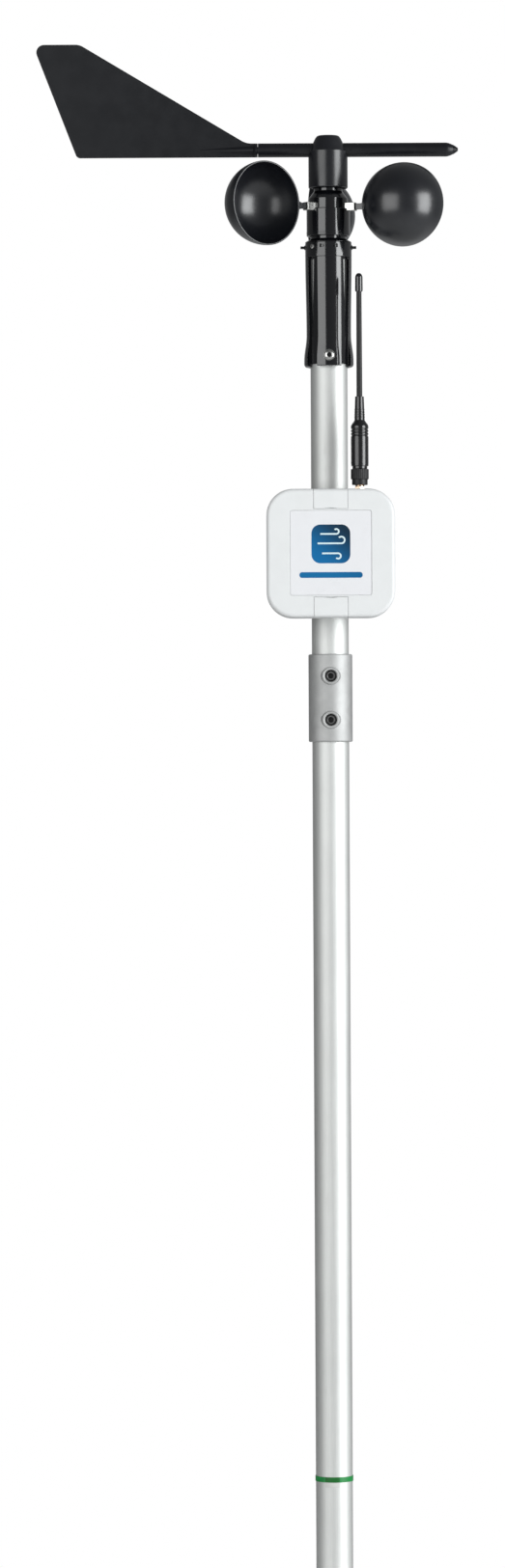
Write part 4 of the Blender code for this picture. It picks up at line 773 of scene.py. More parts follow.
class Workshop:
    """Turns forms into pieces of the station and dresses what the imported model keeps."""

    def piece(self, name: str, form: Form, body: Body, slot: Slot, nodes: Sequence[str] = (),
              finish: Finish | None = None, smooth: float = 40.0) -> None:
        """Makes one piece.

        Args:
            name: The piece's name.
            form: Its shape, which is used up.
            body: The body it moves with.
            slot: The record's slot that its finish belongs to.
            nodes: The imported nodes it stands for.
            finish: Its finish, if it isn't the slot's own.
            smooth: Edges that bend more than this many degrees stay crisp.
        """
        mesh = bpy.data.meshes.new(name)
        form.mesh.to_mesh(mesh)
        form.mesh.free()
        mesh.materials.append((finish or FINISHES[slot]).material())
        mesh.shade_smooth()
        mesh.set_sharp_from_angle(angle=math.radians(smooth))
        made = bpy.data.objects.new(name, mesh)
        bpy.context.scene.collection.objects.link(made)
        even = made.modifiers.new("even shading", "WEIGHTED_NORMAL")
        even.keep_sharp = True
        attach(made, body.value)
        if nodes:
            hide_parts(*nodes)
        log.info("%s: %d faces, on %s", name, len(mesh.polygons), body.value)

    def dress_packed_nodes(self) -> None:
        """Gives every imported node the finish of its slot."""
        for name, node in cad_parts.items():
            for place in node.material_slots:
                place.material = FINISHES[Slot(place.material.name.split(".")[0])].material()
            log.info("%s keeps its shape", name)


def hexagon(across: float, low: float, high: float) -> Form:
    """A six-sided bar about Z for a screw's drive, given across its flats."""
    return Form.rod(across / math.sqrt(3), low, high, 6)


# ---------------------------------------------------------------- mast


@dataclass
class LowerMast:
    """Lower tube with its foot plug and the tape that marks how deep it stands."""

    rim: float = 0.35 * MM
    plug_head: float = 3.0 * MM
    plug_wall: float = 2.0 * MM
    rib: float = 0.25 * MM
    ribs: int = 3
    overlap: Pair = (-8.8 * MM, 4.6 * MM)  # where the tape laps itself over the tab, as arcs from the front
    tab_height: float = 4.4 * MM
    tape: float = 0.12 * MM
    glue: float = 0.02 * MM

    def build(self, shop: Workshop) -> None:
        """Makes the tube, the plug and the depth mark."""
        low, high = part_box("lower_mast_tube")
        tube = Form.sleeve(high.x - TUBE_WALL, high.x, low.z, high.z, 128).rounded(self.rim)
        shop.piece("lower_tube", tube, Body.LOWER_MAST, Slot.ALUMINIUM, ["lower_mast_tube"])
        self.build_plug(shop)
        self.build_depth_mark(shop, high.x)

    def build_plug(self, shop: Workshop) -> None:
        """A plug with a flat head and gripping ribs."""
        low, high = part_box("mast_end_plug")
        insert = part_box("lower_mast_tube")[1].x - TUBE_WALL - 2 * self.rib
        head = low.z + self.plug_head
        inner = insert - self.plug_wall
        plug = Form.turned([(0, low.z), (high.x, low.z), (high.x, head), (insert, head), (insert, high.z),
                            (inner, high.z), (inner, head), (0, head)]).rounded(0.6 * MM)
        for i in range(1, self.ribs + 1):
            height = head + (high.z - head) * i / (self.ribs + 1)
            rib = Form.sleeve(insert - self.rib, insert + self.rib, height - 0.6 * MM, height + 0.6 * MM)
            plug.joined(rib.rounded(0.2 * MM, 2))
        shop.piece("foot_plug", plug, Body.LOWER_MAST, Slot.PLUG, ["mast_end_plug"])

    def strip(self, radius: float, arcs: Pair, low: float, high: float) -> Form:
        """A bit of tape on the tube.

        Args:
            radius: The radius it lies on.
            arcs: Its two ends, as arcs from the front.
            low: Its lower edge.
            high: Its upper edge.

        Returns:
            The tape.
        """
        flat = Form.block((arcs[0], -radius - self.tape, low), (arcs[1], -radius, high))
        return flat.rounded(self.tape * 0.4, 2).sliced(Axis.X, 12).wrapped(radius)

    def build_depth_mark(self, shop: Workshop, tube: float) -> None:
        """A turn of tape that laps itself at the front, over a small pale tab."""
        low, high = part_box("depth_mark_band")
        band = Form.sleeve(tube + self.glue, high.x - self.tape, low.z, high.z, 128)
        band.rounded(self.tape * 0.5, 2)
        shop.piece("depth_tape", band, Body.LOWER_MAST, Slot.TAPE, ["depth_mark_band"])
        lap = self.strip(high.x - self.tape, self.overlap, low.z + 0.1 * MM, high.z - 0.1 * MM)
        shop.piece("depth_tape_lap", lap, Body.LOWER_MAST, Slot.TAPE, finish=TAPE_OVERLAP)
        tab = self.strip(tube + self.glue, self.overlap, low.z - self.tab_height - GAP, low.z - GAP)
        shop.piece("depth_tab", tab, Body.LOWER_MAST, Slot.LABEL, finish=TAB_FILM)


@dataclass
class Coupling:
    """Cast sleeve with two bosses, each with a socket set screw."""

    stop: float = 0.5 * MM
    edge: float = 1.3 * MM
    skirt: float = 1.6 * MM
    boss: float = 8.0 * MM
    screw: float = 5.0 * MM
    pitch: float = 0.8 * MM
    turns: int = 5
    drive: float = 5.0 * MM
    drive_depth: float = 3.4 * MM
    chamfer: float = 0.7 * MM

    def build(self, shop: Workshop) -> None:
        """Makes the sleeve and its screws."""
        low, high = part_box("mast_coupling")
        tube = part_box("lower_mast_tube")[1].x
        bore = tube + GAP
        rib = tube - TUBE_WALL
        centre = (low.z + high.z) / 2
        outer = high.x
        proud = -low.y
        sleeve = Form.turned([
            (bore, low.z), (outer, low.z), (outer, high.z), (bore, high.z), (bore, centre + self.stop),
            (rib, centre + self.stop), (rib, centre - self.stop), (bore, centre - self.stop),
        ], 128).rounded(self.edge, 4, chosen=lambda e: e.verts[0].co.xy.length > outer - MM)
        screws = [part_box("coupling_set_screw_upper"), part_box("coupling_set_screw_lower")]
        heights = [(a.z + b.z) / 2 for a, b in screws]
        for height in heights:
            sleeve.fused(self.boss_form(outer, proud).laid(FRONT).moved(z=height))
        for height in heights:
            hole = self.screw + GAP
            drill = Form.turned([
                (0, bore - 2 * MM), (hole, bore - 2 * MM), (hole, proud - self.chamfer),
                (hole + 2 * self.chamfer, proud + self.chamfer), (0, proud + self.chamfer),
            ], 62)
            sleeve.carved(drill.laid(FRONT).moved(z=height))
        shop.piece("coupling_sleeve", sleeve, Body.LOWER_MAST, Slot.CASTING, ["mast_coupling"], smooth=50)
        for name, (start, end) in zip(("upper", "lower"), screws):
            self.build_screw(shop, name, -end.y, -start.y, (start.z + end.z) / 2)

    def boss_form(self, outer: float, proud: float) -> Form:
        """A round boss with a skirt that runs out into the sleeve.

        Args:
            outer: The sleeve's outer radius.
            proud: How far the boss's face is from the axis.

        Returns:
            The boss about Z.
        """
        foot = outer - 2.6 * MM
        flare = [(self.boss + self.skirt * (1 - share) ** 2, foot + (proud - 1.2 * MM - foot) * share)
                 for share in (0.0, 0.25, 0.5, 0.75, 1.0)]
        crown = arc((self.boss - 1.2 * MM, proud - 1.2 * MM), 1.2 * MM, 22, 90, 4)
        return Form.turned([(0, foot), *flare, *crown, (0, proud)], 64)

    def build_screw(self, shop: Workshop, name: str, low: float, high: float, height: float) -> None:
        """A socket set screw.

        Args:
            shop: The workshop.
            name: Which screw it is.
            low: How far its tip is from the axis.
            high: How far its face is.
            height: How high it sits.
        """
        face = Form.turned([(0, low), (self.screw, low), (self.screw, high - self.chamfer),
                            (self.screw - self.chamfer, high), (0, high)], 64)
        lead = Form.turned([(0, high - 0.5 * MM), (self.drive * 0.5, high - 0.5 * MM),
                            (self.drive * 0.5 + 1.0 * MM, high + 0.5 * MM), (0, high + 0.5 * MM)], 48)
        face.carved(lead, hexagon(self.drive, high - self.drive_depth, high + MM).headed(15))
        root = self.screw - 0.1 * MM
        crest = self.screw + 0.15 * MM
        for i in range(self.turns):
            turn = high - 2 * self.pitch - i * self.pitch
            face.joined(Form.turned([(root, turn - 0.25 * MM), (crest, turn), (root, turn + 0.25 * MM)], 48))
        # Painted shade: dark inside the 2.6 mm drive and outside the 3.7 mm ring, for the shade in the hex
        # recess and in the hole's gap round the head.
        metal = DrivenScrew(f"set_screw_{name}", (0.3, 0.3, 0.3), 0.3, centre=(0.0, 0.0, height),
                            drive=2.6 * MM, ring=3.7 * MM)
        shop.piece(f"set_screw_{name}", face.laid(FRONT).moved(z=height), Body.LOWER_MAST, Slot.DARK_STEEL,
                   [f"coupling_set_screw_{name}"], metal)


@dataclass
class UpperMast:
    """Upper tube, with its cable hole behind the radio box."""

    rim: float = 0.35 * MM

    def build(self, shop: Workshop) -> None:
        """Makes the tube."""
        low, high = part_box("upper_mast_tube")
        box_low, box_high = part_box("box_rear_shell")
        tube = Form.sleeve(high.x - TUBE_WALL, high.x, low.z, high.z, 128).rounded(self.rim)
        hole = Form.rod(CABLE_HOLE, 0.0, 2 * high.x, 46).laid(FRONT).moved(z=(box_low.z + box_high.z) / 2)
        shop.piece("upper_tube", tube.carved(hole), Body.UPPER_MAST, Slot.ALUMINIUM, ["upper_mast_tube"])


# ---------------------------------------------------------------- head


@dataclass
class MastSocket:
    """Moulded socket on the mast's top: a slotted sleeve, front and rear saddles, side fins and a collar."""

    skin: float = 1.3 * MM
    rise: float = 4.05 * MM  # from the bore to the saddles' outside
    sleeve_short: float = 2.6 * MM
    collar_under: float = 4.5 * MM
    collar_lip: float = 2.0 * MM
    shelf: float = 2.0 * MM
    shelf_reach: float = 2.3 * MM
    saddle: float = 30.0
    fin: float = 27.0
    edge: float = 0.8 * MM
    waist: float = 0.9 * MM
    waist_at: float = 0.72
    flare_haste: float = 1.25
    flare: float = 1.4 * MM
    saddle_short: float = 0.5 * MM
    foot: float = 3.4 * MM
    saddle_foot: float = 0.9 * MM
    slot_angles: Pair = (46.5, 60.0)
    slot_drop: float = 6.5 * MM
    slot_length: float = 71.0 * MM
    window: Triple = (4.4 * MM, 3.2 * MM, 5.1 * MM)  # width, height and centre above the tube
    window_angle: float = 17.0
    peg: float = 1.3 * MM
    peg_height: float = 4.8 * MM
    clamp_drive: float = 4.0 * MM
    collar_screw_heading: float = -44.0

    def build(self, shop: Workshop) -> None:
        """Makes the socket and its two screws."""
        low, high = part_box("mast_socket")
        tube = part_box("upper_mast_tube")[1]
        self.top = tube.z
        self.length = self.top - low.z
        self.bore = tube.x + GAP
        self.outer = self.bore + self.rise
        socket = self.sleeve(tube.x, high.z)
        for heading in (0.0, 180.0):
            socket.joined(self.rib(self.saddle, self.saddle_short, self.saddle_foot).headed(heading))
            socket.joined(self.rib(self.fin, 0.0, self.foot).headed(heading + 90.0))
        for side in (RIGHT, LEFT):
            peg = Form.rod(self.peg, self.outer - MM, high.x, 32).rounded(0.35 * MM)
            neck = Form.turned([(0, self.outer - MM), (self.peg * 1.7, self.outer - MM),
                                (self.peg * 1.7, self.outer + 0.3 * MM), (self.peg, self.outer + 1.1 * MM),
                                (0, self.outer + 1.1 * MM)], 32)
            socket.joined(peg.joined(neck).laid(side).moved(z=self.top + self.peg_height))
        shop.piece("socket_moulding", socket, Body.UPPER_MAST, Slot.BLACK, ["mast_socket"],
                   finish=POLISHED_BLACK)
        self.build_clamp_screw(shop)
        self.build_collar_screw(shop)

    def radius(self, height: float) -> float:
        """The outer radius at a height under the tube's top: a slight waist, then a flare at the foot."""
        share = -height / self.length
        if share <= self.waist_at:
            return self.outer - self.waist * eased(max(0.0, share) / self.waist_at)
        out = min(1.0, (share - self.waist_at) / (1.0 - self.waist_at) * self.flare_haste)
        return self.outer - self.waist + (self.waist + self.flare) * eased(out)

    def sleeve(self, tube: float, high: float) -> Form:
        """The thin sleeve and the collar over it, with slots and windows.

        Args:
            tube: The tube's radius.
            high: The collar's top.

        Returns:
            The sleeve.
        """
        skin = self.bore + self.skin
        foot = self.top - self.length + self.sleeve_short
        under = self.top - self.collar_under
        lip = self.outer - self.collar_lip
        inside = tube - self.shelf_reach
        shelf = self.top + self.shelf + GAP
        form = Form.turned([
            (self.bore, foot), (skin, foot), (skin, under), (self.outer, under), (self.outer, high),
            (lip, high), (lip, shelf), (inside, shelf), (inside, self.top + GAP), (self.bore, self.top + GAP),
        ], 128).rounded(0.45 * MM, chosen=lambda e: e.verts[0].co.xy.length > self.outer - 0.1 * MM)
        cutters = []
        wide, tall, centre = self.window
        for heading in (1.0, -1.0):
            for front in (0.0, 180.0):
                slot = Form.block((-0.5, -skin - MM, -self.slot_drop - self.slot_length),
                                  (0.5, -self.bore + 2 * MM, -self.slot_drop))
                middle = sum(self.slot_angles) / 2
                half = math.radians(self.slot_angles[1] - middle) * skin
                slot.bent(lambda p: (p.x * 2 * (half if p.z > -self.slot_drop - MM else 0.25 * MM), p.y, p.z))
                cutters.append(slot.moved(z=self.top).headed(heading * middle + front))
                opening = Form.block((-wide / 2, -self.outer - MM, centre - tall / 2),
                                     (wide / 2, -lip + 0.5 * MM, centre + tall / 2))
                cutters.append(opening.moved(z=self.top).headed(heading * self.window_angle + front))
        return form.carved(*cutters)

    def rib(self, half: float, short: float, foot: float) -> Form:
        """A raised saddle or fin at the front of the sleeve, with a waist and a flared, rounded foot.

        Args:
            half: Half its angle, in degrees.
            short: How much shorter than the socket it is.
            foot: How round its lower outer edge is.

        Returns:
            The rib about Z.
        """
        across = math.radians(half) * self.outer
        low = -self.length + short
        inner = self.bore + self.skin - 0.4 * MM
        form = Form.block((-across, -self.outer, low), (across, -inner, -self.collar_under + 0.1 * MM))

        def lower_front(edge: BMEdge) -> bool:
            """Whether the edge is the foot's outer one."""
            return all(v.co.z < low + MM and v.co.y < -self.outer + MM for v in edge.verts)

        def front(edge: BMEdge) -> bool:
            """Whether the edge is on the outside."""
            return all(v.co.y < -self.outer + 2.1 * MM for v in edge.verts)

        form.rounded(foot, 6, chosen=lower_front).rounded(self.edge, 3, 40.0, front)
        form.sliced(Axis.X, 12).sliced(Axis.Z, 26)

        def shaped(p: Vector) -> Triple:
            """Adds the waist and the flare to the outside."""
            out = min(1.0, max(0.0, (-p.y - inner - 0.6 * MM) / MM))
            return (p.x, p.y - (self.radius(p.z) - self.outer) * out, p.z)

        return form.bent(shaped).wrapped(self.outer).moved(z=self.top)

    def build_clamp_screw(self, shop: Workshop) -> None:
        """A button-head screw with a hexagonal drive, low on the front saddle."""
        low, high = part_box("socket_clamp_screw")
        height = (low.z + high.z) / 2
        face = -low.y
        head = high.x
        seat = face - 2.4 * MM
        dome = [(head * math.cos(a), seat + 0.5 * MM + 1.9 * MM * math.sin(a)) for a in
                (math.radians(10 * i) for i in range(8))]
        screw = Form.turned([(0, -high.y), (2.5 * MM, -high.y), (2.5 * MM, seat), (head, seat), *dome,
                             (0, dome[-1][1])], 64)
        screw.carved(hexagon(self.clamp_drive, seat - 2.0 * MM, face + MM).headed(15))
        washer = Form.sleeve(2.6 * MM, head + 0.5 * MM, seat - 0.3 * MM, seat, 64).rounded(0.1 * MM, 2)
        screw.joined(washer)
        # Painted shade inside the hex drive.
        metal = DrivenScrew("clamp_screw", (0.66, 0.66, 0.64), 0.2, centre=(0.0, 0.0, height), drive=2.3 * MM)
        shop.piece("clamp_screw", screw.laid(FRONT).moved(z=height), Body.UPPER_MAST, Slot.STAINLESS,
                   ["socket_clamp_screw"], metal)

    def build_collar_screw(self, shop: Workshop) -> None:
        """A small cross-head screw in the collar's side."""
        start = self.outer - 2.0 * MM
        seat = self.outer + 0.15 * MM
        screw = Form.turned([
            (0, start), (1.1 * MM, start), (1.1 * MM, seat), (2.1 * MM, seat), (2.1 * MM, seat + 0.5 * MM),
            (1.5 * MM, seat + 1.1 * MM), (0, seat + 1.2 * MM),
        ], 40)
        low, high = (-1.1 * MM, -0.22 * MM, seat + 0.5 * MM), (1.1 * MM, 0.22 * MM, seat + 2 * MM)
        screw.carved(*[Form.block(low, high).headed(turn) for turn in (0.0, 90.0)])
        screw.laid(FRONT).headed(self.collar_screw_heading).moved(z=self.top + self.peg_height)
        shop.piece("collar_side_screw", screw, Body.UPPER_MAST, Slot.STAINLESS, ["collar_screw"])


@dataclass
class SensorCore:
    """Core that plugs into the socket and carries the spindle; its rim and neck show under the cups."""

    cap: float = 3.2 * MM
    rim: float = 0.5 * MM
    step: float = 4.5 * MM
    neck: float = 16.3 * MM
    hole: float = 5.3 * MM
    tab_height: Pair = (4.1 * MM, 6.1 * MM)
    tab_headings: tuple[float, ...] = (17.0, -17.0, 163.0, -163.0)
    plug_step: float = 2.3 * MM
    shelf: float = 2.6 * MM
    roof_drop: float = 6.0 * MM

    def build(self, shop: Workshop) -> None:
        """Makes the core."""
        low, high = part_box("sensor_core")
        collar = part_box("mast_socket")[1].z
        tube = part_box("upper_mast_tube")[1]
        outer = high.x
        plug = outer - self.plug_step
        top = collar + GAP
        barrel = tube.x - TUBE_WALL - 2 * GAP
        shelf = tube.z + self.shelf
        roof = tube.z - self.roof_drop
        core = Form.turned([
            (barrel - 2 * MM, low.z), (barrel, low.z), (barrel, shelf), (plug, shelf),
            (plug, top), (outer, top), (outer, top + self.rim), (outer - self.step, top + self.cap),
            (self.neck, top + self.cap), (self.neck, high.z), (self.hole, high.z), (self.hole, roof),
            (barrel - 2 * MM, roof),
        ]).rounded(0.25 * MM, 2, 25.0, lambda e: e.verts[0].co.z > top - 0.1 * MM)
        for heading in self.tab_headings:
            tab = Form.block((-1.1 * MM, -outer + MM, tube.z + self.tab_height[0]),
                             (1.1 * MM, -plug + MM, tube.z + self.tab_height[1]))
            core.joined(tab.rounded(0.3 * MM, 2).headed(heading))
        shop.piece("core_moulding", core, Body.UPPER_MAST, Slot.BLACK, ["sensor_core"], finish=POLISHED_BLACK)


@dataclass
class CupRotor:
    """Hub with a skirt, a ring and a neck, and three cups on flat arms held in small blocks."""

    skirt: float = 19.8 * MM
    skirt_wall: float = 2.0 * MM
    hub: float = 18.0 * MM
    neck: float = 13.0 * MM
    step: float = 39.7 * MM
    shoulder: float = 49.4 * MM
    cone_top: float = 56.0 * MM
    roof: float = 36.0 * MM
    seat: float = 9.8 * MM
    bearing: float = 28.0 * MM
    block: float = 7.4 * MM
    block_end: float = 26.8 * MM
    arm_height: float = 41.3 * MM
    arm_tall: float = 5.4 * MM
    arm_thick: float = 3.0 * MM
    root_tall: float = 9.0 * MM
    orbit: float = 73.0 * MM
    cup: float = 38.3 * MM
    wall: float = 1.5 * MM
    headings: tuple[tuple[str, float], ...] = (("left", 218.5), ("right", 338.5), ("rear", 98.5))

    def build(self, shop: Workshop) -> None:
        """Makes the hub and the three cups."""
        low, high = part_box("cup_hub")
        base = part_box("upper_mast_tube")[1].z
        inner = self.skirt - self.skirt_wall
        boss = self.seat + 2.2 * MM
        bearing = base + self.bearing
        hub = Form.turned([
            (inner, low.z), (self.skirt, low.z), (self.skirt, base + self.step), (self.hub, base + self.step),
            (self.hub, base + self.shoulder), (self.neck, base + self.cone_top), (self.neck, high.z),
            (self.seat, high.z), (self.seat, bearing), (boss, bearing), (boss, base + self.roof),
            (inner, base + self.roof),
        ]).rounded(0.5 * MM, 3, 25.0, lambda e: e.verts[0].co.xy.length > self.neck - MM)
        for height in (low.z + 1.6 * MM, low.z + 3.0 * MM):
            ring = Form.sleeve(self.skirt - 0.2 * MM, self.skirt + 0.18 * MM, height, height + 0.7 * MM)
            hub.joined(ring.rounded(0.15 * MM, 2))
        shop.piece("rotor_hub", hub, Body.CUP_ROTOR, Slot.BLACK, ["cup_hub"], finish=POLISHED_BLACK)
        for name, heading in self.headings:
            clamp = self.arm_block().headed(heading).moved(z=base + self.arm_height)
            shop.piece(f"arm_clamp_{name}", clamp, Body.CUP_ROTOR, Slot.STAINLESS)
            cup = self.cup_form().headed(heading).moved(z=base + self.arm_height)
            shop.piece(f"cup_{name}", cup, Body.CUP_ROTOR, Slot.BLACK, [f"wind_cup_{name}"], CUP_BLACK)

    def arm_block(self) -> Form:
        """The square block that grips an arm, along X, with a slit for it."""
        half = self.block / 2
        thick = self.arm_thick / 2 + GAP
        tall = self.arm_tall / 2 + GAP
        slit = Form.block((self.hub + 2.7 * MM, -thick, -tall), (self.block_end + MM, thick, tall))
        form = Form.block((self.hub - 5 * MM, -half, -half), (self.block_end, half, half)).rounded(0.5 * MM)
        return form.carved(slit)

    def cup_form(self) -> Form:
        """A hollow half ball with a rolled rim, its mouth towards +Y, and its flaring arm along X."""
        inside = self.cup - self.wall
        outer = arc((0, 0), self.cup, 0, 90, 24)[:-1] + [(0, self.cup)]
        inner = [(0, inside)] + arc((0, 0), inside, 90, 0, 24)[1:]
        form = Form.turned(outer + inner, 96).rounded(0.45 * MM, 3, 60.0)
        form.laid(FRONT).moved(x=self.orbit, y=self.arm_thick / 2)
        start = self.hub + 3 * MM
        root = self.orbit - self.cup + self.wall * 0.8
        spread = (self.root_tall - self.arm_tall) / 2
        flare = [(root - 5 * MM + 5 * MM * s, self.arm_tall / 2 + spread * s ** 2)
                 for s in (0.0, 0.25, 0.5, 0.75, 1.0)]
        outline = [(start, -self.arm_tall / 2)] + [(x, -y) for x, y in flare] + flare[::-1]
        outline.append((start, self.arm_tall / 2))
        arm = Form.prism(outline, -self.arm_thick / 2, self.arm_thick / 2).rounded(0.4 * MM, 2, 50.0)
        return form.joined(arm.laid(FRONT))


@dataclass
class WindVane:
    """Bell-topped hub with a pointed nose boom, a tail boom and a swept fin."""

    radius: float = 17.9 * MM
    wall: float = 2.2 * MM
    shoulder: float = 92.5 * MM
    crown: float = 9.0 * MM
    bell: float = 1.6
    roof_drop: float = 8.4 * MM
    shaft: float = 2.3 * MM
    boom: float = 6.4 * MM
    bore: float = 3.6 * MM
    seat: float = 7.8 * MM
    taper: float = 11.2 * MM
    tip: float = 1.2 * MM
    tip_rings: int = 4
    ogive: float = 1.7
    boom_height: float = 94.0 * MM
    dots: Pair = (20.7 * MM, 55.6 * MM)  # pits in the nose and the tail, from the axis
    screw_height: float = 88.0 * MM
    fin_thick: float = 2.2 * MM
    fin_root: float = 8.4 * MM
    fin_top: float = 42.6 * MM
    fin_sweep: float = 40.0 * MM
    fin_corners: tuple[float, ...] = (0.0, 0.0, 18.0 * MM, 14.0 * MM, 7.0 * MM, 4.5 * MM)
    fin_stub: float = 24.0 * MM
    fairing: float = 52.0 * MM

    def build(self, shop: Workshop) -> None:
        """Makes the hub, the booms and the fin."""
        self.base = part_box("upper_mast_tube")[1].z
        self.height = self.base + self.boom_height
        self.build_hub(shop)
        self.build_nose(shop)
        low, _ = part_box("tail_boom")
        tail = Form.sleeve(self.bore, self.boom, self.seat, -low.x, 64).rounded(0.3 * MM, 2)
        tail.carved(self.pit().laid(LEFT).moved(z=self.dots[1])).laid(LEFT).moved(z=self.height)
        shop.piece("tail_tube", tail, Body.WIND_VANE, Slot.VANE, ["tail_boom"])
        self.build_fin(shop)

    def pit(self) -> Form:
        """A cutter for a small pit in a boom's side, along Z."""
        return Form.rod(0.8 * MM, self.boom - 0.5 * MM, self.boom + MM, 20)

    def build_hub(self, shop: Workshop) -> None:
        """The hollow hub, its crown, the boom seats and the screw's hole at the back."""
        low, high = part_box("vane_hub")
        outer = self.radius
        inner = outer - self.wall
        roof = self.base + self.shoulder - self.roof_drop
        rise = high.z - self.base - self.shoulder
        bell = [(outer - share * (outer - self.crown),
                 self.base + self.shoulder + rise * math.sin(share * math.pi / 2) ** self.bell)
                for share in (0.0, 0.1, 0.2, 0.3, 0.4, 0.55, 0.7, 0.85, 0.95)]
        top = self.base + self.shoulder + 1.8 * MM
        hub = Form.turned([
            (inner, low.z), (outer, low.z), *bell, (self.crown - 1.5 * MM, high.z), (0, high.z), (0, top),
            (self.shaft, top), (self.shaft, roof), (inner, roof),
        ])
        hub.rounded(1.2 * MM, 4, 60.0, lambda e: e.verts[0].co.z < low.z + MM)
        seats = [Form.rod(self.boom + GAP, self.seat - GAP, outer + 2 * MM, 62).laid(side)
                 .moved(z=self.height) for side in (RIGHT, LEFT)]
        screw = Form.rod(1.9 * MM, 0.0, outer + MM, 30).laid(BACK).moved(z=self.base + self.screw_height)
        shop.piece("vane_body", hub.carved(*seats, screw), Body.WIND_VANE, Slot.VANE, ["vane_hub"],
                   finish=HUB_BLACK)

    def build_nose(self, shop: Workshop) -> None:
        """The nose boom with its ogive and a ribbed blunt point."""
        _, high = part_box("nose_boom")
        start = high.x - self.taper
        ogive = [(self.boom - (self.boom - self.tip) * s ** self.ogive, start + self.taper * s)
                 for s in (0.0, 0.12, 0.25, 0.4, 0.55, 0.7, 0.82, 0.92, 1.0)]
        nose = Form.turned([(self.bore, self.seat), (self.boom, self.seat), *ogive, (0, high.x), (0, start),
                            (self.bore, start)], 64)
        nose.laid(RIGHT).carved(self.pit().laid(FRONT).moved(x=self.dots[0]))
        for i in range(self.tip_rings):
            at = start + self.taper * (0.6 + i * 0.1)
            radius = self.boom - (self.boom - self.tip) * ((at - start) / self.taper) ** self.ogive
            nose.joined(Form.sleeve(radius - 0.4 * MM, radius + 0.16 * MM, at, at + 0.5 * MM, 48).laid(RIGHT))
        shop.piece("nose_tube", nose.moved(z=self.height), Body.WIND_VANE, Slot.VANE, ["nose_boom"])

    def build_fin(self, shop: Workshop) -> None:
        """The fin: a thin swept plate on a collar, with a tapered fairing and a stub in the tail boom."""
        low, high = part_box("tail_fin")
        collar = -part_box("tail_boom")[0].x + GAP
        root = collar + 2 * MM + self.fin_root
        half = self.fin_thick / 2
        bottom = low.z - self.height
        top = high.z - self.height
        corners = [(-collar - MM, bottom), (-collar - MM, self.boom), (-root, self.boom),
                   (low.x + self.fin_top, top), (low.x, top), (low.x + self.fin_sweep, bottom)]
        plate = Form.prism(filleted(corners, self.fin_corners), -half, half)
        plate.rounded(0.7 * MM, 3, 70.0).laid(FRONT)
        thin, thick = self.fin_thick * 0.62, self.boom * 0.62
        cone = [(thin + (thick - thin) * (1 - s) ** 1.2,
                 collar + 4 * MM + (self.fairing - 4 * MM) * s) for s in (0.0, 0.2, 0.4, 0.6, 0.8, 1.0)]
        hub = Form.turned([(0, collar - self.fin_stub), (self.bore - GAP, collar - self.fin_stub),
                           (self.bore - GAP, collar), (self.boom, collar), (self.boom, collar + 2 * MM),
                           (self.boom - 0.6 * MM, collar + 2.6 * MM), *cone, (0, collar + self.fairing)], 64)
        fin = plate.joined(hub.laid(LEFT)).moved(z=self.height)
        shop.piece("fin_moulding", fin, Body.WIND_VANE, Slot.VANE, ["tail_fin"])


# ---------------------------------------------------------------- radio box


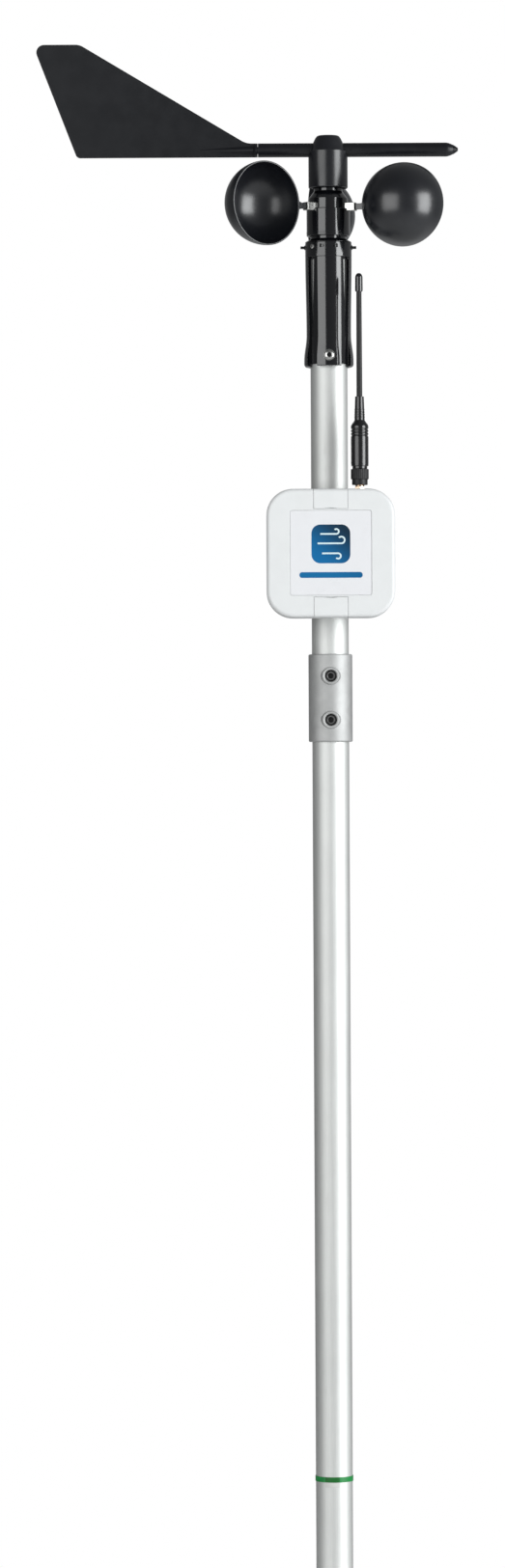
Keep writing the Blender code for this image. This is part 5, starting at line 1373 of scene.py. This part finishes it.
@dataclass
class RadioBox:
    """Two-piece white box with a seal, a recessed label, and two snap flaps over the cover's screws."""

    corner: float = 24.0 * MM
    wall: float = 2.5 * MM
    edge: float = 3.4 * MM
    back_edge: float = 2.2 * MM
    seal_inset: float = 0.9 * MM
    antenna_hole: float = 3.4 * MM
    recess: float = 1.0 * MM
    flap: float = 30.6 * MM
    flap_thick: float = 2.1 * MM
    flap_return: float = 9.5 * MM
    barrel: float = 1.5 * MM
    notch: Pair = (12.3 * MM, 0.9 * MM)
    badge: float = 35.0 * MM
    badge_rise: float = 8.0 * MM
    bar: Pair = (57.0 * MM, 5.2 * MM)
    bar_drop: float = 20.0 * MM
    stroke: float = 1.5 * MM

    def build(self, shop: Workshop) -> None:
        """Makes the shell, seal, cover, label and flaps."""
        self.low, self.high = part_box("box_front_cover")
        self.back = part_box("box_rear_shell")[1].y
        self.front = self.low.y
        self.centre = (self.low.z + self.high.z) / 2
        self.half = self.high.x
        self.build_shell(shop)
        self.build_cover(shop)
        self.build_label(shop)
        for side, body, name in ((1, Body.TOP_FLAP, "top"), (-1, Body.BOTTOM_FLAP, "bottom")):
            self.build_flap(shop, side, body, name)

    def slab(self, inset: float, start: float, end: float) -> Form:
        """A square slab with round corners, between two depths towards the front.

        Args:
            inset: How far it is taken in on each side.
            start: Its back.
            end: Its front.

        Returns:
            The slab, standing up about the box's centre.
        """
        half = self.half - inset
        form = Form.block((-half, end, self.centre - half), (half, start, self.centre + half))
        return form.rounded_along(Axis.Y, self.corner - inset, 14)

    def build_shell(self, shop: Workshop) -> None:
        """The rear shell with its wall, cable hole and antenna hole, and the seal in front of it."""
        low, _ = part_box("box_rear_shell")
        shell = self.slab(0.0, self.back, low.y)
        shell.rounded(self.back_edge, 4, 50.0, lambda e: all(v.co.y > self.back - MM for v in e.verts))
        hollow = self.slab(self.wall, self.back - self.wall, low.y - 5 * MM)
        nut_low, nut_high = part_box("antenna_knurled_nut")
        spot = (nut_low + nut_high) / 2
        hole = Form.rod(self.antenna_hole, self.half - 4 * MM, self.half + 4 * MM, 46)
        hole.moved(spot.x, spot.y, self.centre)
        cable = Form.rod(CABLE_HOLE, -self.back - MM, -self.back + 5 * MM, 46).laid(FRONT)
        shell.carved(hollow, hole, cable.moved(z=self.centre))
        shop.piece("rear_shell", shell, Body.UPPER_MAST, Slot.WHITE, ["box_rear_shell"])
        seal_low, seal_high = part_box("box_gasket")
        seal = self.slab(self.seal_inset, seal_high.y, seal_low.y).rounded(0.3 * MM, 2, 60.0)
        shop.piece("seal", seal.carved(self.slab(self.wall, seal_high.y + MM, seal_low.y - MM)),
                   Body.UPPER_MAST, Slot.SEAL, ["box_gasket"])

    def flap_view(self, spare: float) -> list[Pair]:
        """A flap's side view as (height, forward), from the box's centre and back.

        Args:
            spare: How much it is grown, for its pocket.

        Returns:
            The corners in order, without the front ones.
        """
        forward = -self.front
        hinge = (self.half - self.barrel, forward - self.flap_return)
        radius = self.barrel + spare
        under = self.half - self.flap_thick - spare
        lean = math.degrees(math.asin(min(1.0, (hinge[0] - under) / radius)))
        curve = arc(hinge, radius, 0, -180 - lean, 16)
        return [(self.flap_low - spare, forward - self.flap_thick - spare),
                (under, forward - self.flap_thick - spare), *reversed(curve)]

    @property
    def flap_low(self) -> float:
        """How far the flap's inner edge is from the box's centre."""
        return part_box("top_screw_flap")[0].z - self.centre

    def across(self, outline: Sequence[Pair], half: float, side: int) -> Form:
        """A prism across the box from a side view of (height, forward), for the upper or the lower flap."""
        matrix = Matrix(((0, 0, 1, 0), (0, -1, 0, 0), (side, 0, 0, 0), (0, 0, 0, 1)))
        return Form.prism(outline, -half, half).laid(matrix).moved(z=self.centre)

    def build_cover(self, shop: Workshop) -> None:
        """The front cover with its soft edge, the label's recess and the flap pockets."""
        rear = self.high.y
        cover = self.slab(0.0, rear, self.front)
        cover.rounded(self.edge, 6, 50.0, lambda e: all(v.co.y < self.front + MM for v in e.verts))
        inside = self.slab(self.wall, rear + MM, self.front + self.wall + 4 * MM)
        label_low, label_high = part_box("front_label")
        recess = Form.block((label_low.x - GAP, self.front - MM, label_low.z - GAP),
                            (label_high.x + GAP, self.front + self.recess, label_high.z + GAP))
        recess.rounded_along(Axis.Y, 2.0 * MM, 6)
        beyond = self.half + 3 * MM
        before = -self.front + MM
        pocket = self.flap_view(GAP)
        pocket = [(pocket[0][0], before), *pocket, (beyond, pocket[-1][1]), (beyond, before)]
        cover.carved(inside, recess, *[self.across(pocket, self.flap / 2 + GAP, side) for side in (1, -1)])
        wide = label_high.x + 2 * GAP
        tall = label_high.z - self.centre + 2 * GAP

        def recess_rim(edge: BMEdge) -> bool:
            """Whether the edge is on the rim of the label's recess."""
            spot = (edge.verts[0].co + edge.verts[1].co) / 2
            level = all(abs(v.co.y - self.front) < 0.01 * MM for v in edge.verts)
            return level and abs(spot.x) < wide and abs(spot.z - self.centre) < tall

        cover.rounded(0.35 * MM, 3, 60.0, recess_rim)
        shop.piece("front_cover", cover, Body.UPPER_MAST, Slot.WHITE, ["box_front_cover"])

    def build_label(self, shop: Workshop) -> None:
        """The label film with a plain badge: three wind lines on a blue field, and a blue bar."""
        low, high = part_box("front_label")
        film = Form.block(low, high).rounded_along(Axis.Y, 1.7 * MM, 6).rounded(0.08 * MM, 2, 60.0)
        shop.piece("label_film", film, Body.UPPER_MAST, Slot.LABEL, ["front_label"])
        middle = self.centre + self.badge_rise
        half = self.badge / 2
        blue = Ink("badge_blue", (0.0, 0.15, 0.39), 0.3, far=(0.0, 0.022, 0.05), centre=(0.0, low.y, middle))
        self.print_patch(shop, "badge_field", (half, half, middle), 8 * MM, 10, blue)
        for number, (rise, start, end, lift) in enumerate((
                (9.0 * MM, -9.5 * MM, 5.0 * MM, 2.2 * MM), (0.5 * MM, -12.0 * MM, 9.5 * MM, 3.0 * MM),
                (-8.5 * MM, -8.0 * MM, 6.5 * MM, -2.4 * MM))):
            line = self.wind_line(start, end, lift, low.y).moved(z=middle + rise)
            shop.piece(f"badge_wind_line_{number + 1}", line, Body.UPPER_MAST, Slot.LABEL, finish=BADGE_MARK)
        ink = Ink("bar_blue", (0.0, 0.15, 0.37), 0.3, far=(0.0, 0.1, 0.26), centre=(0.0, 0.0, self.centre))
        patch = (self.bar[0] / 2, self.bar[1] / 2, self.centre - self.bar_drop)
        self.print_patch(shop, "badge_bar", patch, 2.4 * MM, 8, ink)

    def print_patch(self, shop: Workshop, name: str, patch: Triple, corner: float, steps: int,
                    ink: Ink) -> None:
        """A printed patch with round corners on the film.

        Args:
            shop: The workshop.
            name: The patch's name.
            patch: Half its width, half its height and its middle's height.
            corner: Its corners' radius.
            steps: How many parts a corner has.
            ink: Its colour.
        """
        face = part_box("front_label")[0].y
        wide, tall, middle = patch
        form = Form.block((-wide, face - 0.05 * MM, middle - tall), (wide, face + 0.1 * MM, middle + tall))
        form.rounded_along(Axis.Y, corner, steps)
        shop.piece(name, form, Body.UPPER_MAST, Slot.LABEL, finish=ink)

    def wind_line(self, start: float, end: float, lift: float, face: float) -> Form:
        """A stroke that runs level and curls over at its end.

        Args:
            start: Its first X.
            end: Where the curl starts.
            lift: The curl's radius, negative for one that turns down.
            face: The film's front.

        Returns:
            The stroke.
        """
        half = self.stroke / 2
        turn = math.copysign(1.0, lift)
        radius = abs(lift)
        outer, inner = [[(end + bend * math.sin(a), turn * (radius - bend * math.cos(a)))
                         for a in (math.radians(15 * i) for i in range(16))]
                        for bend in (radius + half, radius - half)]
        outline = [(start, -turn * half), *outer, *reversed(inner), (start, turn * half)]
        return Form.prism(outline, -face + 0.02 * MM, -face + 0.1 * MM).laid(FRONT)

    def build_flap(self, shop: Workshop, side: int, body: Body, name: str) -> None:
        """A snap flap with a finger notch.

        Args:
            shop: The workshop.
            side: 1 for the upper one and -1 for the lower one.
            body: The body it is.
            name: Its name.
        """
        forward = -self.front
        edge = arc((self.half - self.edge, forward - self.edge), self.edge, 0, 90, 6)
        outline = [*self.flap_view(0.0), *edge, (self.flap_low, forward)]
        flap = self.across(outline, self.flap / 2, side)
        wide, deep = self.notch
        radius = (wide ** 2 / 4 + deep ** 2) / (2 * deep)
        notch = Form.rod(radius, forward - 4 * MM, forward + 4 * MM, 180).laid(FRONT)
        notch.moved(z=self.centre + side * (self.flap_low + deep - radius))
        pin = Form.rod(1.0 * MM, -self.flap, self.flap, 30).laid(RIGHT)
        pin.moved(y=-(forward - self.flap_return), z=self.centre + side * (self.half - self.barrel))
        flap.carved(notch, pin)
        flap.rounded(0.22 * MM, 2, 55.0, lambda e: all(v.co.y < self.front + 0.05 * MM for v in e.verts))
        shop.piece(f"{name}_flap_moulding", flap, body, Slot.WHITE, [f"{name}_screw_flap"])


@dataclass
class BoxMount:
    """Moulded saddle behind the box, and two worm-drive bands with slotted hexagon screws."""

    thick: float = 0.8 * MM
    reach: float = 3.0 * MM
    edge: float = 3.0 * MM
    housing: Pair = (15.0 * MM, 8.0 * MM)
    worm: float = 0.36  # the worm's radius as a share of the housing's depth
    slots: int = 7
    slot_start: float = 31.0
    slot_step: float = 7.5
    slot_lean: float = 10.0
    pocket: Triple = (8.0 * MM, 12.0 * MM, 4.0 * MM)  # a hollow in the saddle: width, height and depth
    pocket_spot: Pair = (15.5 * MM, 10.0 * MM)

    def build(self, shop: Workshop) -> None:
        """Makes the saddle, the bands and their screws."""
        low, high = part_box("mast_bracket")
        self.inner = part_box("upper_mast_tube")[1].x + GAP
        centre = (low.z + high.z) / 2
        saddle = Form.block(low, high).rounded_along(Axis.Y, 5 * MM, 6).rounded(0.8 * MM, 3, 60.0)
        cutters = [Form.rod(self.inner, low.z - MM, high.z + MM, 126)]
        cutters.append(Form.rod(CABLE_HOLE, 0.0, 30 * MM, 46).laid(FRONT).moved(z=centre))
        bands = [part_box("mast_band_upper"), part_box("mast_band_lower")]
        for start, end in bands:
            groove = self.loop(self.inner + self.thick + GAP, start.z - GAP, end.z + GAP)
            cutters.append(groove.carved(self.loop(self.inner - GAP, start.z - MM, end.z + MM)))
        wide, tall, deep = self.pocket
        for x in (-self.pocket_spot[0], self.pocket_spot[0]):
            for z in (centre - self.pocket_spot[1], centre + self.pocket_spot[1]):
                cutters.append(Form.block((x - wide / 2, high.y - deep, z - tall / 2),
                                          (x + wide / 2, high.y + MM, z + tall / 2)))
        shop.piece("box_saddle", saddle.carved(*cutters), Body.UPPER_MAST, Slot.PLUG, ["mast_bracket"])
        for name, (start, end) in zip(("upper", "lower"), bands):
            self.build_band(shop, name, start.z, end.z)

    def loop(self, radius: float, low: float, high: float) -> Form:
        """A solid in the band's plan: round behind the mast, and a second bend further forward."""
        plan = arc((0, 0), radius, 0, 180, 40) + arc((0, -self.reach), radius, 180, 360, 40)
        return Form.prism(plan, low, high)

    def build_band(self, shop: Workshop, name: str, low: float, high: float) -> None:
        """A slotted steel band, its housing and its screw.

        Args:
            shop: The workshop.
            name: Which band it is.
            low: Its lower edge.
            high: Its upper edge.
        """
        outer = self.inner + self.thick
        middle = (low + high) / 2
        band = self.loop(outer, low, high).rounded(0.25 * MM, 2, 60.0)
        cutters = [self.loop(self.inner, low - MM, high + MM)]
        lean = Matrix.Rotation(math.radians(self.slot_lean), 4, "Y")
        for i in range(self.slots):
            for side in (1, -1):
                slot = Form.block((-0.8 * MM, outer - 1.4 * MM, -2.9 * MM), (0.8 * MM, outer + MM, 2.9 * MM))
                cutters.append(slot.laid(lean).moved(z=middle)
                               .headed(side * (self.slot_start + self.slot_step * i)))
        band.carved(*cutters)
        length, depth = self.housing
        top = outer + depth
        case = Form.block((-length / 2, self.inner + self.thick / 2, low), (length / 2, top, high))
        case.rounded_along(Axis.X, 2.4 * MM, 5).rounded(0.35 * MM, 2, 60.0)
        worm_at = outer + depth / 2
        worm = depth * self.worm
        case.carved(Form.rod(worm + GAP, -length, length, 46).laid(RIGHT).moved(y=worm_at, z=middle))
        shop.piece(f"band_{name}", band.joined(case), Body.UPPER_MAST, Slot.STAINLESS, [f"mast_band_{name}"])
        start = -length * 0.45
        threads = [(worm - (0.5 * MM if i % 2 else 0.0), start + (length * 0.95) * i / 17) for i in range(18)]
        face = length / 2 + depth * 0.5
        screw = Form.turned([(0, start), *threads, (depth * 0.3, length / 2 + 0.3 * MM),
                             (depth * 0.3, length / 2 + 0.4 * MM), (0, length / 2 + 0.4 * MM)], 40)
        head = Form.rod(depth * 0.46, length / 2 + 0.3 * MM, face, 6).rounded(0.3 * MM, 2)
        head.carved(Form.block((-0.5 * MM, -depth, face - 1.2 * MM), (0.5 * MM, depth, face + MM)))
        screw.joined(head).laid(RIGHT).moved(y=worm_at, z=middle)
        shop.piece(f"worm_screw_{name}", screw, Body.UPPER_MAST, Slot.STAINLESS, [f"band_screw_{name}"])


@dataclass
class Antenna:
    """Whip antenna: gold connector, knurled nut, ribbed grip, tapered sleeve, thin whip and pointed cap."""

    stem: float = 3.1 * MM
    knurls: int = 36
    knurl: float = 0.3 * MM
    neck: float = 5.0 * MM
    groove: float = 0.6 * MM
    grooves: int = 3
    rings: int = 4
    grip: float = 38.5 * MM
    grip_shoulder: float = 5.5 * MM
    pitch: float = 2.8 * MM
    thread: float = 0.35 * MM

    def build(self, shop: Workshop) -> None:
        """Makes the antenna from its connector up."""
        low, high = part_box("antenna_knurled_nut")
        self.x = (low.x + high.x) / 2
        self.y = (low.y + high.y) / 2
        self.build_connector(shop)
        self.build_nut(shop)
        self.build_grip(shop)
        self.build_whip(shop)

    def put(self, shop: Workshop, name: str, form: Form, slot: Slot, node: str, finish: Finish | None = None
            ) -> None:
        """Moves a turned form to the antenna's axis and makes it a piece."""
        shop.piece(name, form.moved(self.x, self.y), Body.UPPER_MAST, slot, [node], finish=finish)

    def build_connector(self, shop: Workshop) -> None:
        """The connector with its washer, six-sided nut and thread."""
        low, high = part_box("antenna_bulkhead")
        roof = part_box("box_rear_shell")[1].z
        stem = self.stem
        body = Form.rod(stem - self.thread, low.z, high.z, 48).rounded(0.2 * MM, 2)
        turns = int((high.z - roof) / (2 * self.thread))
        for i in range(turns):
            z = roof + 0.5 * MM + i * 2 * self.thread
            body.joined(Form.turned([(stem - 2 * self.thread, z - self.thread), (stem, z),
                                     (stem - 2 * self.thread, z + self.thread)], 40))
        washer = Form.sleeve(stem - 0.6 * MM, 5.2 * MM, roof + 0.1 * MM, roof + 0.7 * MM, 48)
        nut = Form.rod(4.9 * MM, roof + 0.8 * MM, roof + 2.9 * MM, 6).rounded(0.3 * MM, 2)
        collar = Form.sleeve(stem - 0.6 * MM, 4.1 * MM, roof + 3.1 * MM, roof + 4.3 * MM, 48)
        flange = Form.rod(4.9 * MM, low.z, low.z + 2.2 * MM, 6)
        body.joined(washer.rounded(0.15 * MM, 2), nut, collar.rounded(0.25 * MM, 2), flange)
        self.put(shop, "antenna_connector", body, Slot.GOLD, "antenna_bulkhead")

    def build_nut(self, shop: Workshop) -> None:
        """The nut: a plain neck under a knurled barrel."""
        low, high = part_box("antenna_knurled_nut")
        radius = (high.x - low.x) / 2
        step = low.z + self.neck
        sides = 2 * self.knurls
        barrel = Form.rod(radius, step, high.z, sides)

        def knurled(p: Vector) -> Vector:
            """Takes every other corner in."""
            index = round(math.atan2(p.y, p.x) / math.tau * sides)
            return Vector((p.x, p.y, 0)) * (1 - (index % 2) * self.knurl / radius) + Vector((0, 0, p.z))

        barrel.bent(knurled).rounded(0.5 * MM, 2, 60.0)
        neck = Form.turned([(3.4 * MM, low.z), (radius - MM, low.z), (radius - MM, step + 0.1 * MM),
                            (3.4 * MM, step + 0.1 * MM)], 64).rounded(0.3 * MM)
        self.put(shop, "knurled_nut", neck.joined(barrel), Slot.ANTENNA, "antenna_knurled_nut", NUT_BLACK)

    def build_grip(self, shop: Workshop) -> None:
        """The grip with two sets of grooves, its shoulder and the tapered sleeve."""
        low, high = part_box("antenna_grip")
        radius = (high.x - low.x) / 2
        top = low.z + self.grip
        shoulder = top + self.grip_shoulder
        profile = [(0, low.z), (radius * 0.85, low.z), (radius * 0.85, low.z + 2.3 * MM),
                   (radius * 0.98, low.z + 2.4 * MM), (radius, low.z + 5 * MM)]
        for i in range(self.grooves):
            z = top - (self.grooves - i) * self.pitch
            profile += [(radius, z - self.pitch * 0.28), (radius - self.groove, z - self.pitch * 0.14),
                        (radius - self.groove, z + self.pitch * 0.14), (radius, z + self.pitch * 0.28)]
        profile += [(radius, top), (radius * 0.93, top + 1.6 * MM), (radius * 0.78, top + 3.2 * MM),
                    (5.2 * MM, shoulder - 0.8 * MM), (4.7 * MM, shoulder), (4.0 * MM, high.z),
                    (2.9 * MM, high.z), (2.9 * MM, high.z - 8 * MM), (0, high.z - 8 * MM)]
        grip = Form.turned(profile, 64).rounded(0.22 * MM, 2, 25.0)
        for i in range(self.rings):
            z = shoulder + 2.5 * MM + i * 2.2 * MM
            ring = Form.sleeve(4.0 * MM, 4.85 * MM - i * 0.07 * MM, z, z + 0.9 * MM, 48)
            grip.joined(ring.rounded(0.25 * MM, 2))
        self.put(shop, "antenna_handle", grip, Slot.ANTENNA, "antenna_grip")

    def build_whip(self, shop: Workshop) -> None:
        """The thin whip and the cap on its tip."""
        low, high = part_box("antenna_whip")
        whip = Form.turned([(0, low.z), (2.65 * MM, low.z), (2.35 * MM, high.z), (0, high.z)], 48)
        self.put(shop, "whip", whip, Slot.ANTENNA, "antenna_whip", WHIP_BLACK)
        low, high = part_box("antenna_tip_cap")
        cone = high.z - 4.1 * MM
        point = [(3.4 * MM * math.cos(a) ** 0.8, cone + 4.1 * MM * math.sin(a) ** 1.15)
                 for a in (math.radians(11 * i) for i in range(8))]
        cap = Form.turned([(2.6 * MM, low.z), (3.25 * MM, low.z), (3.5 * MM, low.z + 1.5 * MM), *point,
                           (0, high.z), (0, low.z + 5 * MM), (2.6 * MM, low.z + 5 * MM)], 48)
        cap.rounded(0.2 * MM, 2, 50.0)
        self.put(shop, "tip_cap", cap, Slot.ANTENNA, "antenna_tip_cap", POLISHED_BLACK)


# ---------------------------------------------------------------- studio


@dataclass
class Softbox:
    """One large rectangular studio light."""

    name: str
    heading: float
    distance: float
    height: float
    size: Pair
    power: float
    colour: Triple

    def build(self, target: float) -> None:
        """Hangs the light and turns it towards the mast's axis at a height."""
        data = bpy.data.lights.new(self.name, "AREA")
        data.shape = "RECTANGLE"
        data.size, data.size_y = self.size
        data.energy = self.power
        data.color = self.colour
        light = bpy.data.objects.new(self.name, data)
        angle = math.radians(self.heading)
        light.location = (self.distance * math.sin(angle), -self.distance * math.cos(angle), self.height)
        aim = Vector((0, 0, target)) - light.location
        light.rotation_euler = aim.to_track_quat("-Z", "Y").to_euler()
        light.visible_camera = False
        bpy.context.scene.collection.objects.link(light)


@dataclass
class Studio:
    """Pale floor, white surroundings, two softboxes and the camera."""

    floor: float = 1.15
    distance: float = 5.0
    height: float = 0.926
    side: float = -71.7 * MM
    roll: float = 0.28
    lens: float = 83.73
    sensor: float = 24.0

    def build(self) -> None:
        """Makes the whole studio."""
        self.build_floor()
        self.build_surroundings()
        Softbox("left_softbox", heading=-39.0, distance=4.0, height=1.6, size=(3.3, 3.1), power=78.0,
                colour=(0.98, 0.99, 0.99)).build(target=1.4)
        Softbox("right_softbox", heading=57.0, distance=4.0, height=1.5, size=(2.5, 3.3), power=158.0,
                colour=(0.97, 0.99, 1.0)).build(target=1.25)
        self.build_camera()
        bpy.context.scene.view_settings.view_transform = "Standard"

    def build_floor(self) -> None:
        """A round pale floor."""
        form = Form.rod(self.floor, -0.02, -0.0005, 128).rounded(4 * MM, 2)
        mesh = bpy.data.meshes.new("pale_floor")
        form.mesh.to_mesh(mesh)
        form.mesh.free()
        plaster = MouldedPlastic("floor_plaster", (0.9, 0.9, 0.895), 0.55, grain=3 * MM, depth=0.1 * MM,
                                 contrast=0.01, dust=0.0)
        mesh.materials.append(plaster.material())
        floor = bpy.data.objects.new("pale_floor", mesh)
        bpy.context.scene.collection.objects.link(floor)

    def build_surroundings(self) -> None:
        """White to the camera; for lighting, bright below and behind, and dimmer at the sides."""
        world = bpy.data.worlds.new("white_studio")
        bpy.context.scene.world = world
        world.use_nodes = True
        nodes, links = world.node_tree.nodes, world.node_tree.links
        nodes.clear()
        parts = nodes.new("ShaderNodeSeparateXYZ")
        links.new(nodes.new("ShaderNodeTexCoord").outputs["Generated"], parts.inputs[0])

        def range_of(source: bpy.types.NodeSocket, low: float, high: float, start: float, end: float
                     ) -> bpy.types.NodeSocket:
            """A soft step over one direction."""
            step = nodes.new("ShaderNodeMapRange")
            step.interpolation_type = "SMOOTHSTEP"
            links.new(source, step.inputs["Value"])
            for name, value in (("From Min", low), ("From Max", high), ("To Min", start), ("To Max", end)):
                step.inputs[name].default_value = value
            return step.outputs[0]

        def total(first: bpy.types.NodeSocket, second: bpy.types.NodeSocket) -> bpy.types.NodeSocket:
            """Two brightnesses together."""
            both = nodes.new("ShaderNodeMath")
            links.new(first, both.inputs[0])
            links.new(second, both.inputs[1])
            return both.outputs[0]

        below = range_of(parts.outputs[2], -0.2, -0.7, 0.0, 0.35)
        behind = range_of(parts.outputs[1], 0.75, 0.98, 0.0, 0.12)
        side = range_of(parts.outputs[0], -0.6, 0.7, 0.12, 0.22)
        light = nodes.new("ShaderNodeBackground")
        links.new(total(total(below, behind), side), light.inputs["Strength"])
        white = nodes.new("ShaderNodeBackground")
        mixed = nodes.new("ShaderNodeMixShader")
        path = nodes.new("ShaderNodeLightPath")
        light.inputs["Color"].default_value = (0.97, 0.985, 1.0, 1.0)
        white.inputs["Color"].default_value = (1.0, 1.0, 1.0, 1.0)
        links.new(path.outputs["Is Camera Ray"], mixed.inputs[0])
        links.new(light.outputs[0], mixed.inputs[1])
        links.new(white.outputs[0], mixed.inputs[2])
        links.new(mixed.outputs[0], nodes.new("ShaderNodeOutputWorld").inputs[0])

    def build_camera(self) -> None:
        """A long lens, level with the mast's middle and a little to its left."""
        data = bpy.data.cameras.new("studio_camera")
        data.sensor_width = self.sensor
        data.lens = self.lens
        camera = bpy.data.objects.new("studio_camera", data)
        camera.location = (self.side, -self.distance, self.height)
        camera.rotation_euler = (math.radians(90), math.radians(self.roll), 0.0)
        bpy.context.scene.collection.objects.link(camera)
        bpy.context.scene.camera = camera


def main() -> None:
    """Builds the station from the foot up, then the studio."""
    logging.basicConfig(level=logging.INFO, format="%(name)s %(message)s")
    shop = Workshop()
    Studio().build()
    shop.dress_packed_nodes()
    for assembly in (LowerMast(), Coupling(), UpperMast(), MastSocket(), SensorCore(), CupRotor(), WindVane(),
                     RadioBox(), BoxMount(), Antenna()):
        assembly.build(shop)
        log.info("%s done", type(assembly).__name__)


if __name__ == "__main__":
    main()
